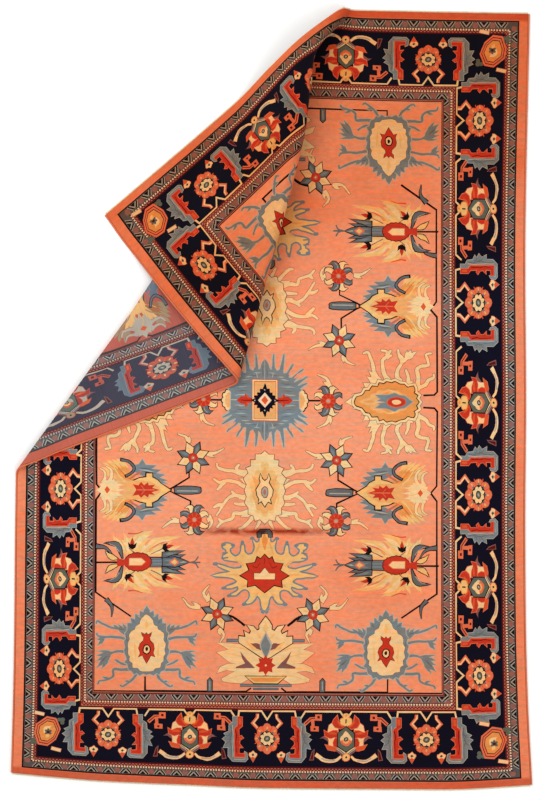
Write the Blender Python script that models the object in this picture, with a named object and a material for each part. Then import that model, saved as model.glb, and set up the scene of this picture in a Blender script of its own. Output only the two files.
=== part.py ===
"""Persian rug lying pile side up, with its top left corner folded over and folded back again.

X runs across the rug, Y along it and Z up. The origin is on the floor, in the middle of the rug's box.
The rug is first laid out flat, with the bowed edges of a handwoven piece. Both creases of the double fold
run through one point, the apex, just past the top edge. So the fold is worked out in polar coordinates
about that apex: a point keeps its reach, and the arc through it is bent up, over and back.
"""

import math

import bpy
import numpy as np
from mathutils import Vector
from mathutils.geometry import delaunay_2d_cdt

# Driving dimensions, in metres.
WIDTH = 3.00  # between the selvedges, along the middle of the rug
LENGTH = 4.59  # between the end webs
THICKNESS = 0.012  # pile and foundation
LAYER_GAP = 0.0015  # air between two layers that lie on each other
PIECE_GAP = 0.0003  # between the rug and what is worked onto its edges
SELVEDGE_RADIUS = 0.006
WEB_WIDTH = 0.010
WEB_THICKNESS = 0.004
CENTRE_X, CENTRE_Y = -0.0136, -0.0101  # the straight rug's middle, from the middle of the finished rug's box

# How far each edge stands out from the straight one, against the place along it from 0 to 1:
# along Y from the bottom for the sides, along X from the left for the ends.
BOW = {
    "left": (
        (0.0, 0.021), (0.10, 0.010), (0.22, 0.003), (0.41, 0.0), (0.48, -0.013), (0.55, -0.022),
        (0.64, -0.028), (0.72, -0.014), (0.78, 0.002), (0.88, 0.026), (0.95, 0.024), (1.0, 0.004),
    ),
    "right": (
        (0.0, 0.041), (0.11, 0.016), (0.22, 0.003), (0.34, 0.0), (0.50, 0.005), (0.67, 0.0), (1.0, 0.024),
    ),
    "bottom": (
        (0.0, -0.083), (0.09, -0.057), (0.17, -0.038), (0.33, -0.018), (0.50, 0.0), (0.84, 0.003),
        (1.0, -0.024),
    ),
    "top": ((0.0, 0.0), (0.66, 0.004), (0.84, -0.005), (1.0, -0.013)),
}
BOW_DEPTH = 0.65  # the bow fades out this far in from the edge

# The double fold. Its apex lies past the top edge.
APEX_X = 0.436
APEX_PAST_TOP = 0.070
# A row for each reach from the apex. turn: how far the cloth turns over, in degrees. heel and ridge: the
# radii of the lower and upper bend. crest: the direction of the ridge, in degrees clockwise from +X.
# spin: how far the folded-back corner is turned about the apex, in degrees. draw: how much nearer to the
# apex it comes to lie.
FOLD_COLUMNS = ("reach", "turn", "heel", "ridge", "crest", "spin", "draw")
FOLD = (
    (0.04, 46.0, 0.028, 0.028, 100.0, 38.0, 0.000),
    (0.18, 86.0, 0.027, 0.032, 116.0, 40.5, 0.000),
    (0.37, 112.0, 0.026, 0.038, 123.0, 41.0, 0.000),
    (0.59, 138.0, 0.026, 0.050, 115.5, 39.5, 0.006),
    (0.89, 154.0, 0.025, 0.053, 109.5, 39.8, 0.014),
    (1.36, 169.0, 0.023, 0.048, 107.4, 40.1, 0.032),
    (1.89, 176.0, 0.022, 0.045, 106.8, 40.1, 0.021),
    (2.30, 180.0, 0.022, 0.045, 106.6, 39.4, 0.000),
    (3.40, 180.0, 0.022, 0.045, 106.5, 39.4, 0.000),
)
SETTLE = 0.12  # along the cloth, from the lower bend to where the middle layer lies on the bottom one
LANDING = 0.27  # from the lower bend to where the top layer reaches the floor
STEEPEST = math.radians(24)  # the top layer's mean fall from a high ridge

# Steps of the worked-out fold and of the solids.
REACH_STEPS = 110
ANGLE_STEP = math.radians(0.03)
EDGE_STEP = 0.25  # between edge points where no fold line ends
EDGE_TURN = math.radians(5)  # the most that the cloth turns between two edge points
EDGE_SNAP = 0.002  # two fold lines that end nearer to each other than this share an edge point
ROW_REACHES = (
    0.05, 0.09, 0.13, 0.19, 0.26, 0.34, 0.42, 0.50, 0.59, 0.70, 0.82, 0.96, 1.12, 1.30, 1.50, 1.72, 1.95,
    2.15, 2.32, 2.45, 2.62, 2.85, 3.10, 3.30, 3.48,
)
HEEL_STEPS, MIDDLE_STEPS, RIDGE_STEPS, TOP_STEPS = 8, 4, 10, 9

PILE_RED = (0.78, 0.24, 0.12)
END_CREAM = (0.80, 0.70, 0.52)


def eased(at, places, values):
    """A smooth curve through (places, values), read at the places in at. It doesn't overshoot its points."""
    places, values = np.asarray(places, float), np.asarray(values, float)
    at = np.clip(at, places[0], places[-1])
    step = np.diff(places)
    rise = np.diff(values) / step
    same_way = rise[:-1] * rise[1:] > 0
    inner = np.where(same_way, 2 * rise[:-1] * rise[1:] / np.where(same_way, rise[:-1] + rise[1:], 1), 0)
    slope = np.concatenate([rise[:1], inner, rise[-1:]])
    k = np.clip(np.searchsorted(places, at, side="right") - 1, 0, len(step) - 1)
    t = (at - places[k]) / step[k]
    return (
        (1 + 2 * t) * (1 - t) ** 2 * values[k]
        + t * (1 - t) ** 2 * step[k] * slope[k]
        + t**2 * (3 - 2 * t) * values[k + 1]
        - t**2 * (1 - t) * step[k] * slope[k + 1]
    )


def smooth(t):
    """From 0 to 1, level at both ends."""
    t = np.clip(t, 0, 1)
    return t * t * (3 - 2 * t)


def bow(edge, along):
    """How far an edge stands out at the place along it, from 0 to 1."""
    return eased(along, *zip(*BOW[edge]))



def laid_flat(x, y):
    """Where the point x, y of the straight rug, measured from its middle, lies once its edges are bowed."""
    across, along = x / WIDTH + 0.5, y / LENGTH + 0.5
    near_left, near_right = (np.clip(1 - d / BOW_DEPTH, 0, 1) for d in (across * WIDTH, (1 - across) * WIDTH))
    near_bottom, near_top = (np.clip(1 - d / BOW_DEPTH, 0, 1) for d in (along * LENGTH, (1 - along) * LENGTH))
    return (
        x + CENTRE_X - near_left * bow("left", along) + near_right * bow("right", along),
        y + CENTRE_Y - near_bottom * bow("bottom", across) + near_top * bow("top", across),
    )


APEX = (APEX_X + CENTRE_X, LENGTH / 2 + APEX_PAST_TOP + CENTRE_Y)


def hermite(t, low, high, start_slope, end_slope, span):
    """The cubic from low to high over span, at t from 0 to 1, with these slopes at its ends."""
    return (
        (1 + 2 * t) * (1 - t) ** 2 * low
        + t * (1 - t) ** 2 * span * start_slope
        + t**2 * (3 - 2 * t) * high
        - t**2 * (1 - t) * span * end_slope
    )


def fold_row(reach):
    """The fold's columns at a reach, by name, with its angles in radians."""
    places, *columns = zip(*FOLD)
    row = {name: float(eased(reach, places, column)) for name, column in zip(FOLD_COLUMNS[1:], columns)}
    return row | {name: math.radians(row[name]) for name in ("turn", "crest", "spin")}


def bent(reach, middle):
    """The fold's section at a reach, with the middle layer this long: (plan, height) along it, and the points
    where the heel, the middle and the ridge end."""
    row = fold_row(reach)
    turn, heel, ridge = row["turn"], row["heel"], row["ridge"]
    layer = THICKNESS + LAYER_GAP
    heel_height = heel * (1 - math.cos(turn))
    sink = max(heel_height - layer, 0) * float(smooth((math.degrees(turn) - 120) / 60))
    a = np.linspace(0, turn, 91)
    plan, height = [heel * np.sin(a)], [heel * (1 - np.cos(a))]
    t = np.linspace(0, 1, 49)[1:]
    settled = smooth(t * middle / min(SETTLE, 0.8 * middle + 1e-6))
    plan.append(heel * math.sin(turn) + middle * math.cos(turn) * t)
    height.append(heel_height + middle * math.sin(turn) * t - sink * settled)
    a = np.linspace(turn, 0, 91)[1:]
    plan.append(plan[1][-1] + ridge * (math.sin(turn) - np.sin(a)))
    height.append(height[1][-1] + ridge * (np.cos(a) - math.cos(turn)))
    top, crest_plan = height[2][-1], plan[2][-1]
    over_heel = heel - crest_plan
    land = max(over_heel + LANDING, top / math.tan(STEEPEST))
    knee = max(over_heel, 0.45 * land)
    knee_height = max(heel_height + layer + 0.004, 0.5 * top)
    fall = -1.1 * top / land
    t = np.linspace(0, 1, 41)[1:]
    plan += [crest_plan + knee * t, crest_plan + knee + (land - knee) * t]
    height += [hermite(t, top, knee_height, 0, fall, knee), hermite(t, knee_height, 0, fall, 0, land - knee)]
    ends = np.cumsum([len(p) for p in plan])[:3] - 1
    return np.concatenate(plan), np.concatenate(height), ends


def lengths(plan, height):
    return np.concatenate([[0], np.cumsum(np.hypot(np.diff(plan), np.diff(height)))])


def section(reach):
    """The fold at a reach: (arc, plan, height, knots). arc and plan are angles about the apex, before and
    after folding. knots are the arcs where the heel begins and where the heel, middle, ridge and fall end."""
    row = fold_row(reach)
    low, high = 0.0, reach
    for _ in range(40):
        middle = (low + high) / 2
        plan, height, _ = bent(reach, middle)
        taken = lengths(plan, height)[-1] - plan[-1]
        low, high = (middle, high) if taken < row["spin"] * reach else (low, middle)
    plan, height, ends = bent(reach, (low + high) / 2)
    arc = lengths(plan, height)
    start = row["crest"] * reach - plan[ends[2]]
    knots = (arc[[0, *ends, -1]] + start) / reach
    return (arc + start) / reach, (plan + start) / reach, height, knots


def worked_out():
    """The fold on a grid of reaches and angles: (reaches, angles, turned angle, height, reach in plan)."""
    reaches = 0.03 + 5.2 * np.linspace(0, 1, REACH_STEPS) ** 1.6
    angles = np.arange(math.radians(-5), math.radians(200), ANGLE_STEP)
    turned, height, drawn = [], [], []
    for reach in reaches:
        arc, plan, up, knots = section(reach)
        far = 4.0
        arc = np.concatenate([[arc[0] - far], arc, [arc[-1] + far]])
        plan = np.concatenate([[plan[0] - far], plan, [plan[-1] + far]])
        up = np.concatenate([[0], up, [up[-1]]])
        turned.append(np.interp(angles, arc, plan))
        height.append(np.interp(angles, arc, up))
        drawn.append(fold_row(reach)["draw"] * smooth((angles - knots[2]) / (knots[3] - knots[2])))
    turned, height = np.array(turned), np.array(height)
    step = np.diff(reaches)[:, None]
    level = np.sqrt(np.maximum(step**2 - np.diff(height, axis=0) ** 2, (0.6 * step) ** 2))
    in_plan = reaches[0] + np.concatenate([np.zeros((1, len(angles))), np.cumsum(level, axis=0)])
    return reaches, angles, turned, height, in_plan - np.array(drawn)


GRID = worked_out()


def folded(x, y):
    """The middle of the cloth at the point x, y of the straight rug, as an array of X, Y and Z."""
    reaches, angles, *fields = GRID
    flat_x, flat_y = laid_flat(np.asarray(x, float), np.asarray(y, float))
    dx, dy = flat_x - APEX[0], APEX[1] - flat_y
    reach, angle = np.hypot(dx, dy), np.arctan2(dy, dx)
    angle = np.where(angle < -0.5 * math.pi, angle + 2 * math.pi, angle)
    k = np.clip(np.searchsorted(reaches, reach) - 1, 0, len(reaches) - 2)
    j = np.clip(((angle - angles[0]) / ANGLE_STEP).astype(int), 0, len(angles) - 2)
    u = np.clip((reach - reaches[k]) / (reaches[k + 1] - reaches[k]), 0, 1)
    v = np.clip((angle - angles[j]) / ANGLE_STEP, 0, 1)

    def read(field):
        near, far = (field[i, j] * (1 - v) + field[i, j + 1] * v for i in (k, k + 1))
        return near * (1 - u) + far * u

    turned, height, in_plan = (read(field) for field in fields)
    return np.stack(
        [
            APEX[0] + in_plan * np.cos(turned),
            APEX[1] - in_plan * np.sin(turned),
            height + THICKNESS / 2,
        ],
        axis=-1,
    )


def directions(x, y):
    """(across, along, normal) at a point of the straight rug: unit vectors on the folded cloth. The normal
    points out of the pile."""
    h = 0.001
    x, y = np.asarray(x, float), np.asarray(y, float)
    across = folded(x + h, y) - folded(x - h, y)
    along = folded(x, y + h) - folded(x, y - h)
    normal = np.cross(across, along)
    return tuple(v / np.linalg.norm(v, axis=-1, keepdims=True) for v in (across, along, normal))


def straight_from_polar(reach, angle):
    """The point of the straight rug at a reach and angle from the apex. The bow is taken off by steps."""
    want = (APEX[0] + reach * np.cos(angle), APEX[1] - reach * np.sin(angle))
    x, y = want[0] - CENTRE_X, want[1] - CENTRE_Y
    for _ in range(6):
        got = laid_flat(x, y)
        x, y = x + want[0] - got[0], y + want[1] - got[1]
    return x, y


def fold_lines():
    """Lines on the straight rug that the solid's faces follow, along the bends and across them."""
    steps = (HEEL_STEPS, MIDDLE_STEPS, RIDGE_STEPS, TOP_STEPS)
    rows = []
    for reach in ROW_REACHES:
        knots = section(reach)[3]
        stops = [np.linspace(a, b, n, endpoint=False) for a, b, n in zip(knots, knots[1:], steps)]
        angle = np.concatenate([*stops, [knots[-1], knots[-1] + 0.3]])
        rows.append(np.stack(straight_from_polar(reach, angle), axis=-1))
    return np.array(rows)


CORNERS = np.array([(-1, -1), (1, -1), (1, 1), (-1, 1)]) * (WIDTH / 2, LENGTH / 2)


def inside(points):
    return (abs(points[..., 0]) < WIDTH / 2 - EDGE_SNAP) & (abs(points[..., 1]) < LENGTH / 2 - EDGE_SNAP)


def leaving(inner, outer):
    """Where the line from a point inside the straight rug to one outside it crosses the edge."""
    half = np.array([WIDTH, LENGTH]) / 2
    way = outer - inner
    share = [(math.copysign(h, w) - p) / w for h, w, p in zip(half, way, inner) if abs(w) > 1e-9]
    point = inner + min(share) * way
    nearest = np.argmin(abs(abs(point) - half))
    point[nearest] = math.copysign(half[nearest], point[nearest])
    return point


def along_border(point):
    """How far along the border a point of it lies, anticlockwise from the lower left corner."""
    x, y = point + CORNERS[2]
    if abs(point[1] + LENGTH / 2) < 1e-6:
        return x
    if abs(point[0] - WIDTH / 2) < 1e-6:
        return WIDTH + y
    if abs(point[1] - LENGTH / 2) < 1e-6:
        return 2 * WIDTH + LENGTH - x
    return 2 * (WIDTH + LENGTH) - y


def border_point(distance):
    stops = np.array([0, WIDTH, WIDTH + LENGTH, 2 * WIDTH + LENGTH, 2 * (WIDTH + LENGTH)])
    corners = np.concatenate([CORNERS, CORNERS[:1]])
    return np.array([np.interp(distance, stops, corners[:, 0]), np.interp(distance, stops, corners[:, 1])])


def flat_mesh():
    """The straight rug cut into triangles along fold_lines(): (points, triangles)."""
    rows = fold_lines()
    kept = inside(rows)
    number = np.arange(kept.size).reshape(kept.shape)
    flat_rows, flat_kept = rows.reshape(-1, 2), kept.ravel()
    round_it = 2 * (WIDTH + LENGTH)
    stops = [along_border(corner) for corner in CORNERS]
    links, ends = [], []
    along_rows = zip(number[:, :-1].ravel(), number[:, 1:].ravel())
    across_rows = zip(number[:-1].ravel(), number[1:].ravel())
    for a, b in [*along_rows, *across_rows]:
        if flat_kept[a] and flat_kept[b]:
            links.append((a, b))
        elif flat_kept[a] != flat_kept[b]:
            inner, outer = (a, b) if flat_kept[a] else (b, a)
            at = along_border(leaving(flat_rows[inner], flat_rows[outer]))
            away = [min(abs(at - stop), round_it - abs(at - stop)) for stop in stops]
            if min(away) > EDGE_SNAP:
                stops.append(at)
            ends.append((inner, at))
    stops = np.array([*sorted(stops), round_it])
    normals = directions(*np.transpose([border_point(stop) for stop in stops]))[2]
    turned = np.arccos(np.clip(np.sum(normals[:-1] * normals[1:], axis=1), -1, 1))
    pieces = 1 + np.maximum(np.diff(stops) / EDGE_STEP, turned / EDGE_TURN).astype(int)
    spans = zip(stops, stops[1:], pieces)
    stops = np.concatenate([np.linspace(low, high, n, endpoint=False) for low, high, n in spans])
    border = [border_point(stop) for stop in stops]
    new_number = np.cumsum(flat_kept) - 1 + len(border)
    points = [Vector(p) for p in [*border, *flat_rows[flat_kept]]]
    linked = [(int(new_number[a]), int(new_number[b])) for a, b in links]
    for inner, at in ends:
        away = abs(stops - at)
        linked.append((int(new_number[inner]), int(np.argmin(np.minimum(away, round_it - away)))))
    found = delaunay_2d_cdt(points, linked, [list(range(len(border)))], 1, 1e-5)
    return np.array([tuple(p) for p in found[0]]), [list(f) for f in found[2]]


FLAT, FACES = flat_mesh()


def rim(name):
    """All points of the rug's mesh on one edge, in order."""
    axis, sign = {"left": (0, -1), "right": (0, 1), "bottom": (1, -1), "top": (1, 1)}[name]
    at = sign * (WIDTH, LENGTH)[axis] / 2
    found = FLAT[abs(FLAT[:, axis] - at) < 1e-4]
    return found[np.argsort(found[:, 1 - axis])].T


def material(name, colour, roughness):
    made = bpy.data.materials.new(name)
    made.use_nodes = True
    shader = made.node_tree.nodes["Principled BSDF"]
    shader.inputs["Base Color"].default_value = (*colour, 1)
    shader.inputs["Roughness"].default_value = roughness
    shader.inputs["Metallic"].default_value = 0.0
    return made


def added(collection, name, data, finish):
    made = bpy.data.objects.new(name, data)
    collection.objects.link(made)
    data.materials.append(finish)
    return made


def shell(collection, name, places, normals, faces, thickness, finish):
    """A sheet given its thickness, half to each side along these normals. They follow the folds exactly, so
    what is worked onto an edge keeps its gap. Faces are listed anticlockwise as seen from the pile."""
    count = len(places)
    points = np.concatenate([places + normals * thickness / 2, places - normals * thickness / 2])
    edges = {(a, b) for face in faces for a, b in zip(face, [*face[1:], face[0]])}
    rim = [(a, a + count, b + count, b) for a, b in sorted(edges) if (b, a) not in edges]
    back = [[i + count for i in reversed(face)] for face in faces]
    mesh = bpy.data.meshes.new(name)
    mesh.from_pydata([tuple(p) for p in points], [], [*faces, *back, *rim])
    mesh.shade_smooth()
    mesh.set_sharp_from_angle(angle=math.radians(50))
    return added(collection, name, mesh, finish)


def rug_body(collection, finish):
    """The woven rug, one sheet of pile and foundation."""
    normal = directions(*FLAT.T)[2]
    return shell(collection, "rug_body", folded(*FLAT.T), normal, FACES, THICKNESS, finish)


def selvedge(collection, name, side, finish):
    """The overcast cord along one side, which goes with the cloth round its folds. side is -1 or 1."""
    x, y = rim("left" if side < 0 else "right")
    _, along, normal = directions(x, y)
    middle = folded(x, y) + side * np.cross(along, normal) * (SELVEDGE_RADIUS + PIECE_GAP)
    curve = bpy.data.curves.new(name, "CURVE")
    curve.dimensions = "3D"
    curve.bevel_depth = SELVEDGE_RADIUS
    curve.bevel_resolution = 2
    curve.use_fill_caps = True
    spline = curve.splines.new("POLY")
    spline.points.add(len(middle) - 1)
    for point, place in zip(spline.points, middle):
        point.co = (*place, 1)
    return added(collection, name, curve, finish)


def end_web(collection, name, end, finish):
    """The narrow flat-woven strip at one end, on the level of the foundation. end is -1 or 1."""
    x, y = rim("bottom" if end < 0 else "top")
    steps = len(x)
    across, _, normal = directions(x, y)
    outward = end * np.cross(normal, across)
    foot = folded(x, y) - normal * (THICKNESS - WEB_THICKNESS) / 2
    near, far = (foot + outward * d for d in (PIECE_GAP, PIECE_GAP + WEB_WIDTH))
    far[:, 2] = np.maximum(far[:, 2], WEB_THICKNESS / 2)  # not below the floor
    points = np.concatenate([near, far])
    quads = [(i, i + 1, i + 1 + steps, i + steps)[::end] for i in range(steps - 1)]
    return shell(collection, name, points, np.concatenate([normal, normal]), quads, WEB_THICKNESS, finish)


def main():
    for old in list(bpy.data.objects):
        bpy.data.objects.remove(old, do_unlink=True)
    collection = bpy.data.collections.new("persian_rug")
    bpy.context.scene.collection.children.link(collection)
    pile = material("pile", PILE_RED, 0.9)
    wool = material("overcast_wool", PILE_RED, 0.9)
    cotton = material("end_cotton", END_CREAM, 0.9)
    rug_body(collection, pile)
    selvedge(collection, "selvedge_left", -1, wool)
    selvedge(collection, "selvedge_right", 1, wool)
    end_web(collection, "end_web_bottom", -1, cotton)
    end_web(collection, "end_web_top", 1, cotton)


main()
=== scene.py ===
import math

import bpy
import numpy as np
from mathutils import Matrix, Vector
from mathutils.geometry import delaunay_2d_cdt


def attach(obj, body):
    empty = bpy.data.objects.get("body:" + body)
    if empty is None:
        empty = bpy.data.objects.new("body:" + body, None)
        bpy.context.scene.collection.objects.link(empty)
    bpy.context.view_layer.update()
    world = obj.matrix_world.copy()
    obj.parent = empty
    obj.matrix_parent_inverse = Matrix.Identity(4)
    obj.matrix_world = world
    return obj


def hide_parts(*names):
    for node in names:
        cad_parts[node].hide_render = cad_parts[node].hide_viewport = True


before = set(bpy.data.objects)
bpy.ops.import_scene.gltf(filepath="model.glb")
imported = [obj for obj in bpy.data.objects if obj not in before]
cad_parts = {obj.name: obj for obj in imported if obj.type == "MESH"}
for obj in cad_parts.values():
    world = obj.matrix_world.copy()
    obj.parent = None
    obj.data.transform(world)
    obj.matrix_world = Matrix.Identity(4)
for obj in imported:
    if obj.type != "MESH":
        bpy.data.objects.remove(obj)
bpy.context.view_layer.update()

# A room-size persian rug, seen from straight above, with its top left corner folded over and back again.
#
# The pattern is drawn flat, as a weaver's cartoon is: motifs made of coloured outlines, placed along the
# borders and over the field. The drawing is cut into triangles, each with one colour of wool, and the
# triangles are laid on the folded sheet. X runs across the rug, Y along it, Z up, in metres. The drawing
# is measured in cells from the middle of the straight rug.

# ---------------------------------------------------------------------------------------------------------
# The folded sheet, as in the CAD model

WIDTH = 3.00  # between the selvedges, along the middle of the rug
LENGTH = 4.59  # between the end webs
THICKNESS = 0.012  # pile and foundation
LAYER_GAP = 0.0015  # air between two layers that lie on each other
PIECE_GAP = 0.0003  # between the rug and what is worked onto its edges
SELVEDGE_RADIUS = 0.006
WEB_WIDTH = 0.010
WEB_THICKNESS = 0.004
CENTRE_X, CENTRE_Y = -0.0136, -0.0101  # the straight rug's middle, from the middle of the finished rug's box

# How far each edge stands out from the straight one, against the place along it from 0 to 1:
# along Y from the bottom for the sides, along X from the left for the ends.
BOW = {
    "left": (
        (0.0, 0.021), (0.10, 0.010), (0.22, 0.003), (0.41, 0.0), (0.48, -0.013), (0.55, -0.022),
        (0.64, -0.028), (0.72, -0.014), (0.78, 0.002), (0.88, 0.026), (0.95, 0.024), (1.0, 0.004),
    ),
    "right": (
        (0.0, 0.041), (0.11, 0.016), (0.22, 0.003), (0.34, 0.0), (0.50, 0.005), (0.67, 0.0), (1.0, 0.024),
    ),
    "bottom": (
        (0.0, -0.083), (0.09, -0.057), (0.17, -0.038), (0.33, -0.018), (0.50, 0.0), (0.84, 0.003),
        (1.0, -0.024),
    ),
    "top": ((0.0, 0.0), (0.66, 0.004), (0.84, -0.005), (1.0, -0.013)),
}
BOW_DEPTH = 0.65  # the bow fades out this far in from the edge

APEX_X = 0.436
APEX_PAST_TOP = 0.070
# A row for each reach from the apex. turn: how far the cloth turns over, in degrees. heel and ridge: the
# radii of the lower and upper bend. crest: the direction of the ridge, in degrees clockwise from +X.
# spin: how far the folded-back corner is turned about the apex, in degrees. draw: how much nearer to the
# apex it comes to lie.
FOLD_COLUMNS = ("reach", "turn", "heel", "ridge", "crest", "spin", "draw")
FOLD = (
    (0.04, 46.0, 0.028, 0.028, 100.0, 38.0, 0.000),
    (0.18, 86.0, 0.027, 0.032, 116.0, 40.5, 0.000),
    (0.37, 112.0, 0.026, 0.038, 123.0, 41.0, 0.000),
    (0.59, 138.0, 0.026, 0.050, 115.5, 39.5, 0.006),
    (0.89, 154.0, 0.025, 0.053, 109.5, 39.8, 0.014),
    (1.36, 169.0, 0.023, 0.048, 107.4, 40.1, 0.032),
    (1.89, 176.0, 0.022, 0.045, 106.8, 40.1, 0.021),
    (2.30, 180.0, 0.022, 0.045, 106.6, 39.4, 0.000),
    (3.40, 180.0, 0.022, 0.045, 106.5, 39.4, 0.000),
)
SETTLE = 0.12  # along the cloth, from the lower bend to where the middle layer lies on the bottom one
LANDING = 0.27  # from the lower bend to where the top layer reaches the floor
STEEPEST = math.radians(24)  # the top layer's mean fall from a high ridge
SINKS_FROM, SINKS_OVER = 120, 60  # from what turn, and over how many degrees, the middle layer sinks
KNEE_PLAN, KNEE_HEIGHT = 0.45, 0.5  # where the top layer's fall is steepest, as shares of the fall
KNEE_LIFT = 0.004  # the least height of that place over the layers below
FALL_SLOPE = 1.1  # its slope there, as a share of the mean fall
BEND_STEPS, LAYER_STEPS, FALL_STEPS = 91, 49, 41
FIRST_REACH, REACH_SPAN, REACH_CROWDING = 0.03, 5.2, 1.6  # the reaches lie closer together near the apex
REACH_STEPS = 110
FIRST_ANGLE, LAST_ANGLE, ANGLE_STEP = math.radians(-5), math.radians(200), math.radians(0.03)
LEAST_LEVEL = 0.6  # a step outwards takes in at least this share of itself in plan
FAR = 4.0  # plain cloth before and after each section of the fold


def eased(at, places, values):
    """A smooth curve through (places, values), read at the places in at. It doesn't overshoot its points."""
    places, values = np.asarray(places, float), np.asarray(values, float)
    at = np.clip(at, places[0], places[-1])
    step = np.diff(places)
    rise = np.diff(values) / step
    same_way = rise[:-1] * rise[1:] > 0
    inner = np.where(same_way, 2 * rise[:-1] * rise[1:] / np.where(same_way, rise[:-1] + rise[1:], 1), 0)
    slope = np.concatenate([rise[:1], inner, rise[-1:]])
    k = np.clip(np.searchsorted(places, at, side="right") - 1, 0, len(step) - 1)
    t = (at - places[k]) / step[k]
    return (
        (1 + 2 * t) * (1 - t) ** 2 * values[k]
        + t * (1 - t) ** 2 * step[k] * slope[k]
        + t**2 * (3 - 2 * t) * values[k + 1]
        - t**2 * (1 - t) * step[k] * slope[k + 1]
    )


def smooth(t):
    """From 0 to 1, level at both ends."""
    t = np.clip(t, 0, 1)
    return t * t * (3 - 2 * t)


def bow(edge, along):
    """How far an edge stands out at the place along it, from 0 to 1."""
    return eased(along, *zip(*BOW[edge]))


def laid_flat(x, y):
    """Where the point x, y of the straight rug, measured from its middle, lies once its edges are bowed."""
    across, along = x / WIDTH + 0.5, y / LENGTH + 0.5
    left, right, bottom, top = (
        np.clip(1 - distance / BOW_DEPTH, 0, 1)
        for distance in (across * WIDTH, (1 - across) * WIDTH, along * LENGTH, (1 - along) * LENGTH)
    )
    return (
        x + CENTRE_X - left * bow("left", along) + right * bow("right", along),
        y + CENTRE_Y - bottom * bow("bottom", across) + top * bow("top", across),
    )


APEX = (APEX_X + CENTRE_X, LENGTH / 2 + APEX_PAST_TOP + CENTRE_Y)


def hermite(t, low, high, start_slope, end_slope, span):
    """The cubic from low to high over span, at t from 0 to 1, with these slopes at its ends."""
    return (
        (1 + 2 * t) * (1 - t) ** 2 * low
        + t * (1 - t) ** 2 * span * start_slope
        + t**2 * (3 - 2 * t) * high
        - t**2 * (1 - t) * span * end_slope
    )


def fold_row(reach):
    """The fold's columns at a reach, by name, with its angles in radians."""
    places, *columns = zip(*FOLD)
    row = {name: float(eased(reach, places, column)) for name, column in zip(FOLD_COLUMNS[1:], columns)}
    return row | {name: math.radians(row[name]) for name in ("turn", "crest", "spin")}


def bent(reach, middle):
    """The fold's section at a reach, with the middle layer this long: (plan, height) along it, and the
    points where the heel, the middle and the ridge end."""
    row = fold_row(reach)
    turn, heel, ridge = row["turn"], row["heel"], row["ridge"]
    layer = THICKNESS + LAYER_GAP
    heel_height = heel * (1 - math.cos(turn))
    sink = max(heel_height - layer, 0) * float(smooth((math.degrees(turn) - SINKS_FROM) / SINKS_OVER))
    a = np.linspace(0, turn, BEND_STEPS)
    plan, height = [heel * np.sin(a)], [heel * (1 - np.cos(a))]
    t = np.linspace(0, 1, LAYER_STEPS)[1:]
    settled = smooth(t * middle / min(SETTLE, 0.8 * middle + 1e-6))
    plan.append(heel * math.sin(turn) + middle * math.cos(turn) * t)
    height.append(heel_height + middle * math.sin(turn) * t - sink * settled)
    a = np.linspace(turn, 0, BEND_STEPS)[1:]
    plan.append(plan[1][-1] + ridge * (math.sin(turn) - np.sin(a)))
    height.append(height[1][-1] + ridge * (np.cos(a) - math.cos(turn)))
    top, crest_plan = height[2][-1], plan[2][-1]
    over_heel = heel - crest_plan
    land = max(over_heel + LANDING, top / math.tan(STEEPEST))
    knee = max(over_heel, KNEE_PLAN * land)
    knee_height = max(heel_height + layer + KNEE_LIFT, KNEE_HEIGHT * top)
    fall = -FALL_SLOPE * top / land
    t = np.linspace(0, 1, FALL_STEPS)[1:]
    plan += [crest_plan + knee * t, crest_plan + knee + (land - knee) * t]
    height.append(hermite(t, top, knee_height, 0, fall, knee))
    height.append(hermite(t, knee_height, 0, fall, 0, land - knee))
    ends = np.cumsum([len(p) for p in plan])[:3] - 1
    return np.concatenate(plan), np.concatenate(height), ends


def lengths(plan, height):
    """How long the section is up to each of its points."""
    return np.concatenate([[0], np.cumsum(np.hypot(np.diff(plan), np.diff(height)))])


def section(reach):
    """The fold at a reach: (arc, plan, height, knots). arc and plan are angles about the apex, before and
    after folding. knots are the arcs where the heel begins and where heel, middle, ridge and fall end."""
    row = fold_row(reach)
    low, high = 0.0, reach
    for _ in range(40):
        middle = (low + high) / 2
        plan, height, _ = bent(reach, middle)
        taken = lengths(plan, height)[-1] - plan[-1]
        low, high = (middle, high) if taken < row["spin"] * reach else (low, middle)
    plan, height, ends = bent(reach, (low + high) / 2)
    arc = lengths(plan, height)
    start = row["crest"] * reach - plan[ends[2]]
    knots = (arc[[0, *ends, -1]] + start) / reach
    return (arc + start) / reach, (plan + start) / reach, height, knots


def worked_out():
    """The fold on a grid of reaches and angles: (reaches, angles, turned angle, height, reach in plan)."""
    reaches = FIRST_REACH + REACH_SPAN * np.linspace(0, 1, REACH_STEPS) ** REACH_CROWDING
    angles = np.arange(FIRST_ANGLE, LAST_ANGLE, ANGLE_STEP)
    turned, height, drawn = [], [], []
    for reach in reaches:
        arc, plan, up, knots = section(reach)
        arc = np.concatenate([[arc[0] - FAR], arc, [arc[-1] + FAR]])
        plan = np.concatenate([[plan[0] - FAR], plan, [plan[-1] + FAR]])
        up = np.concatenate([[0], up, [up[-1]]])
        turned.append(np.interp(angles, arc, plan))
        height.append(np.interp(angles, arc, up))
        drawn.append(fold_row(reach)["draw"] * smooth((angles - knots[2]) / (knots[3] - knots[2])))
    turned, height = np.array(turned), np.array(height)
    step = np.diff(reaches)[:, None]
    level = np.sqrt(np.maximum(step**2 - np.diff(height, axis=0) ** 2, (LEAST_LEVEL * step) ** 2))
    in_plan = reaches[0] + np.concatenate([np.zeros((1, len(angles))), np.cumsum(level, axis=0)])
    return reaches, angles, turned, height, in_plan - np.array(drawn)


GRID = worked_out()


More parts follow.
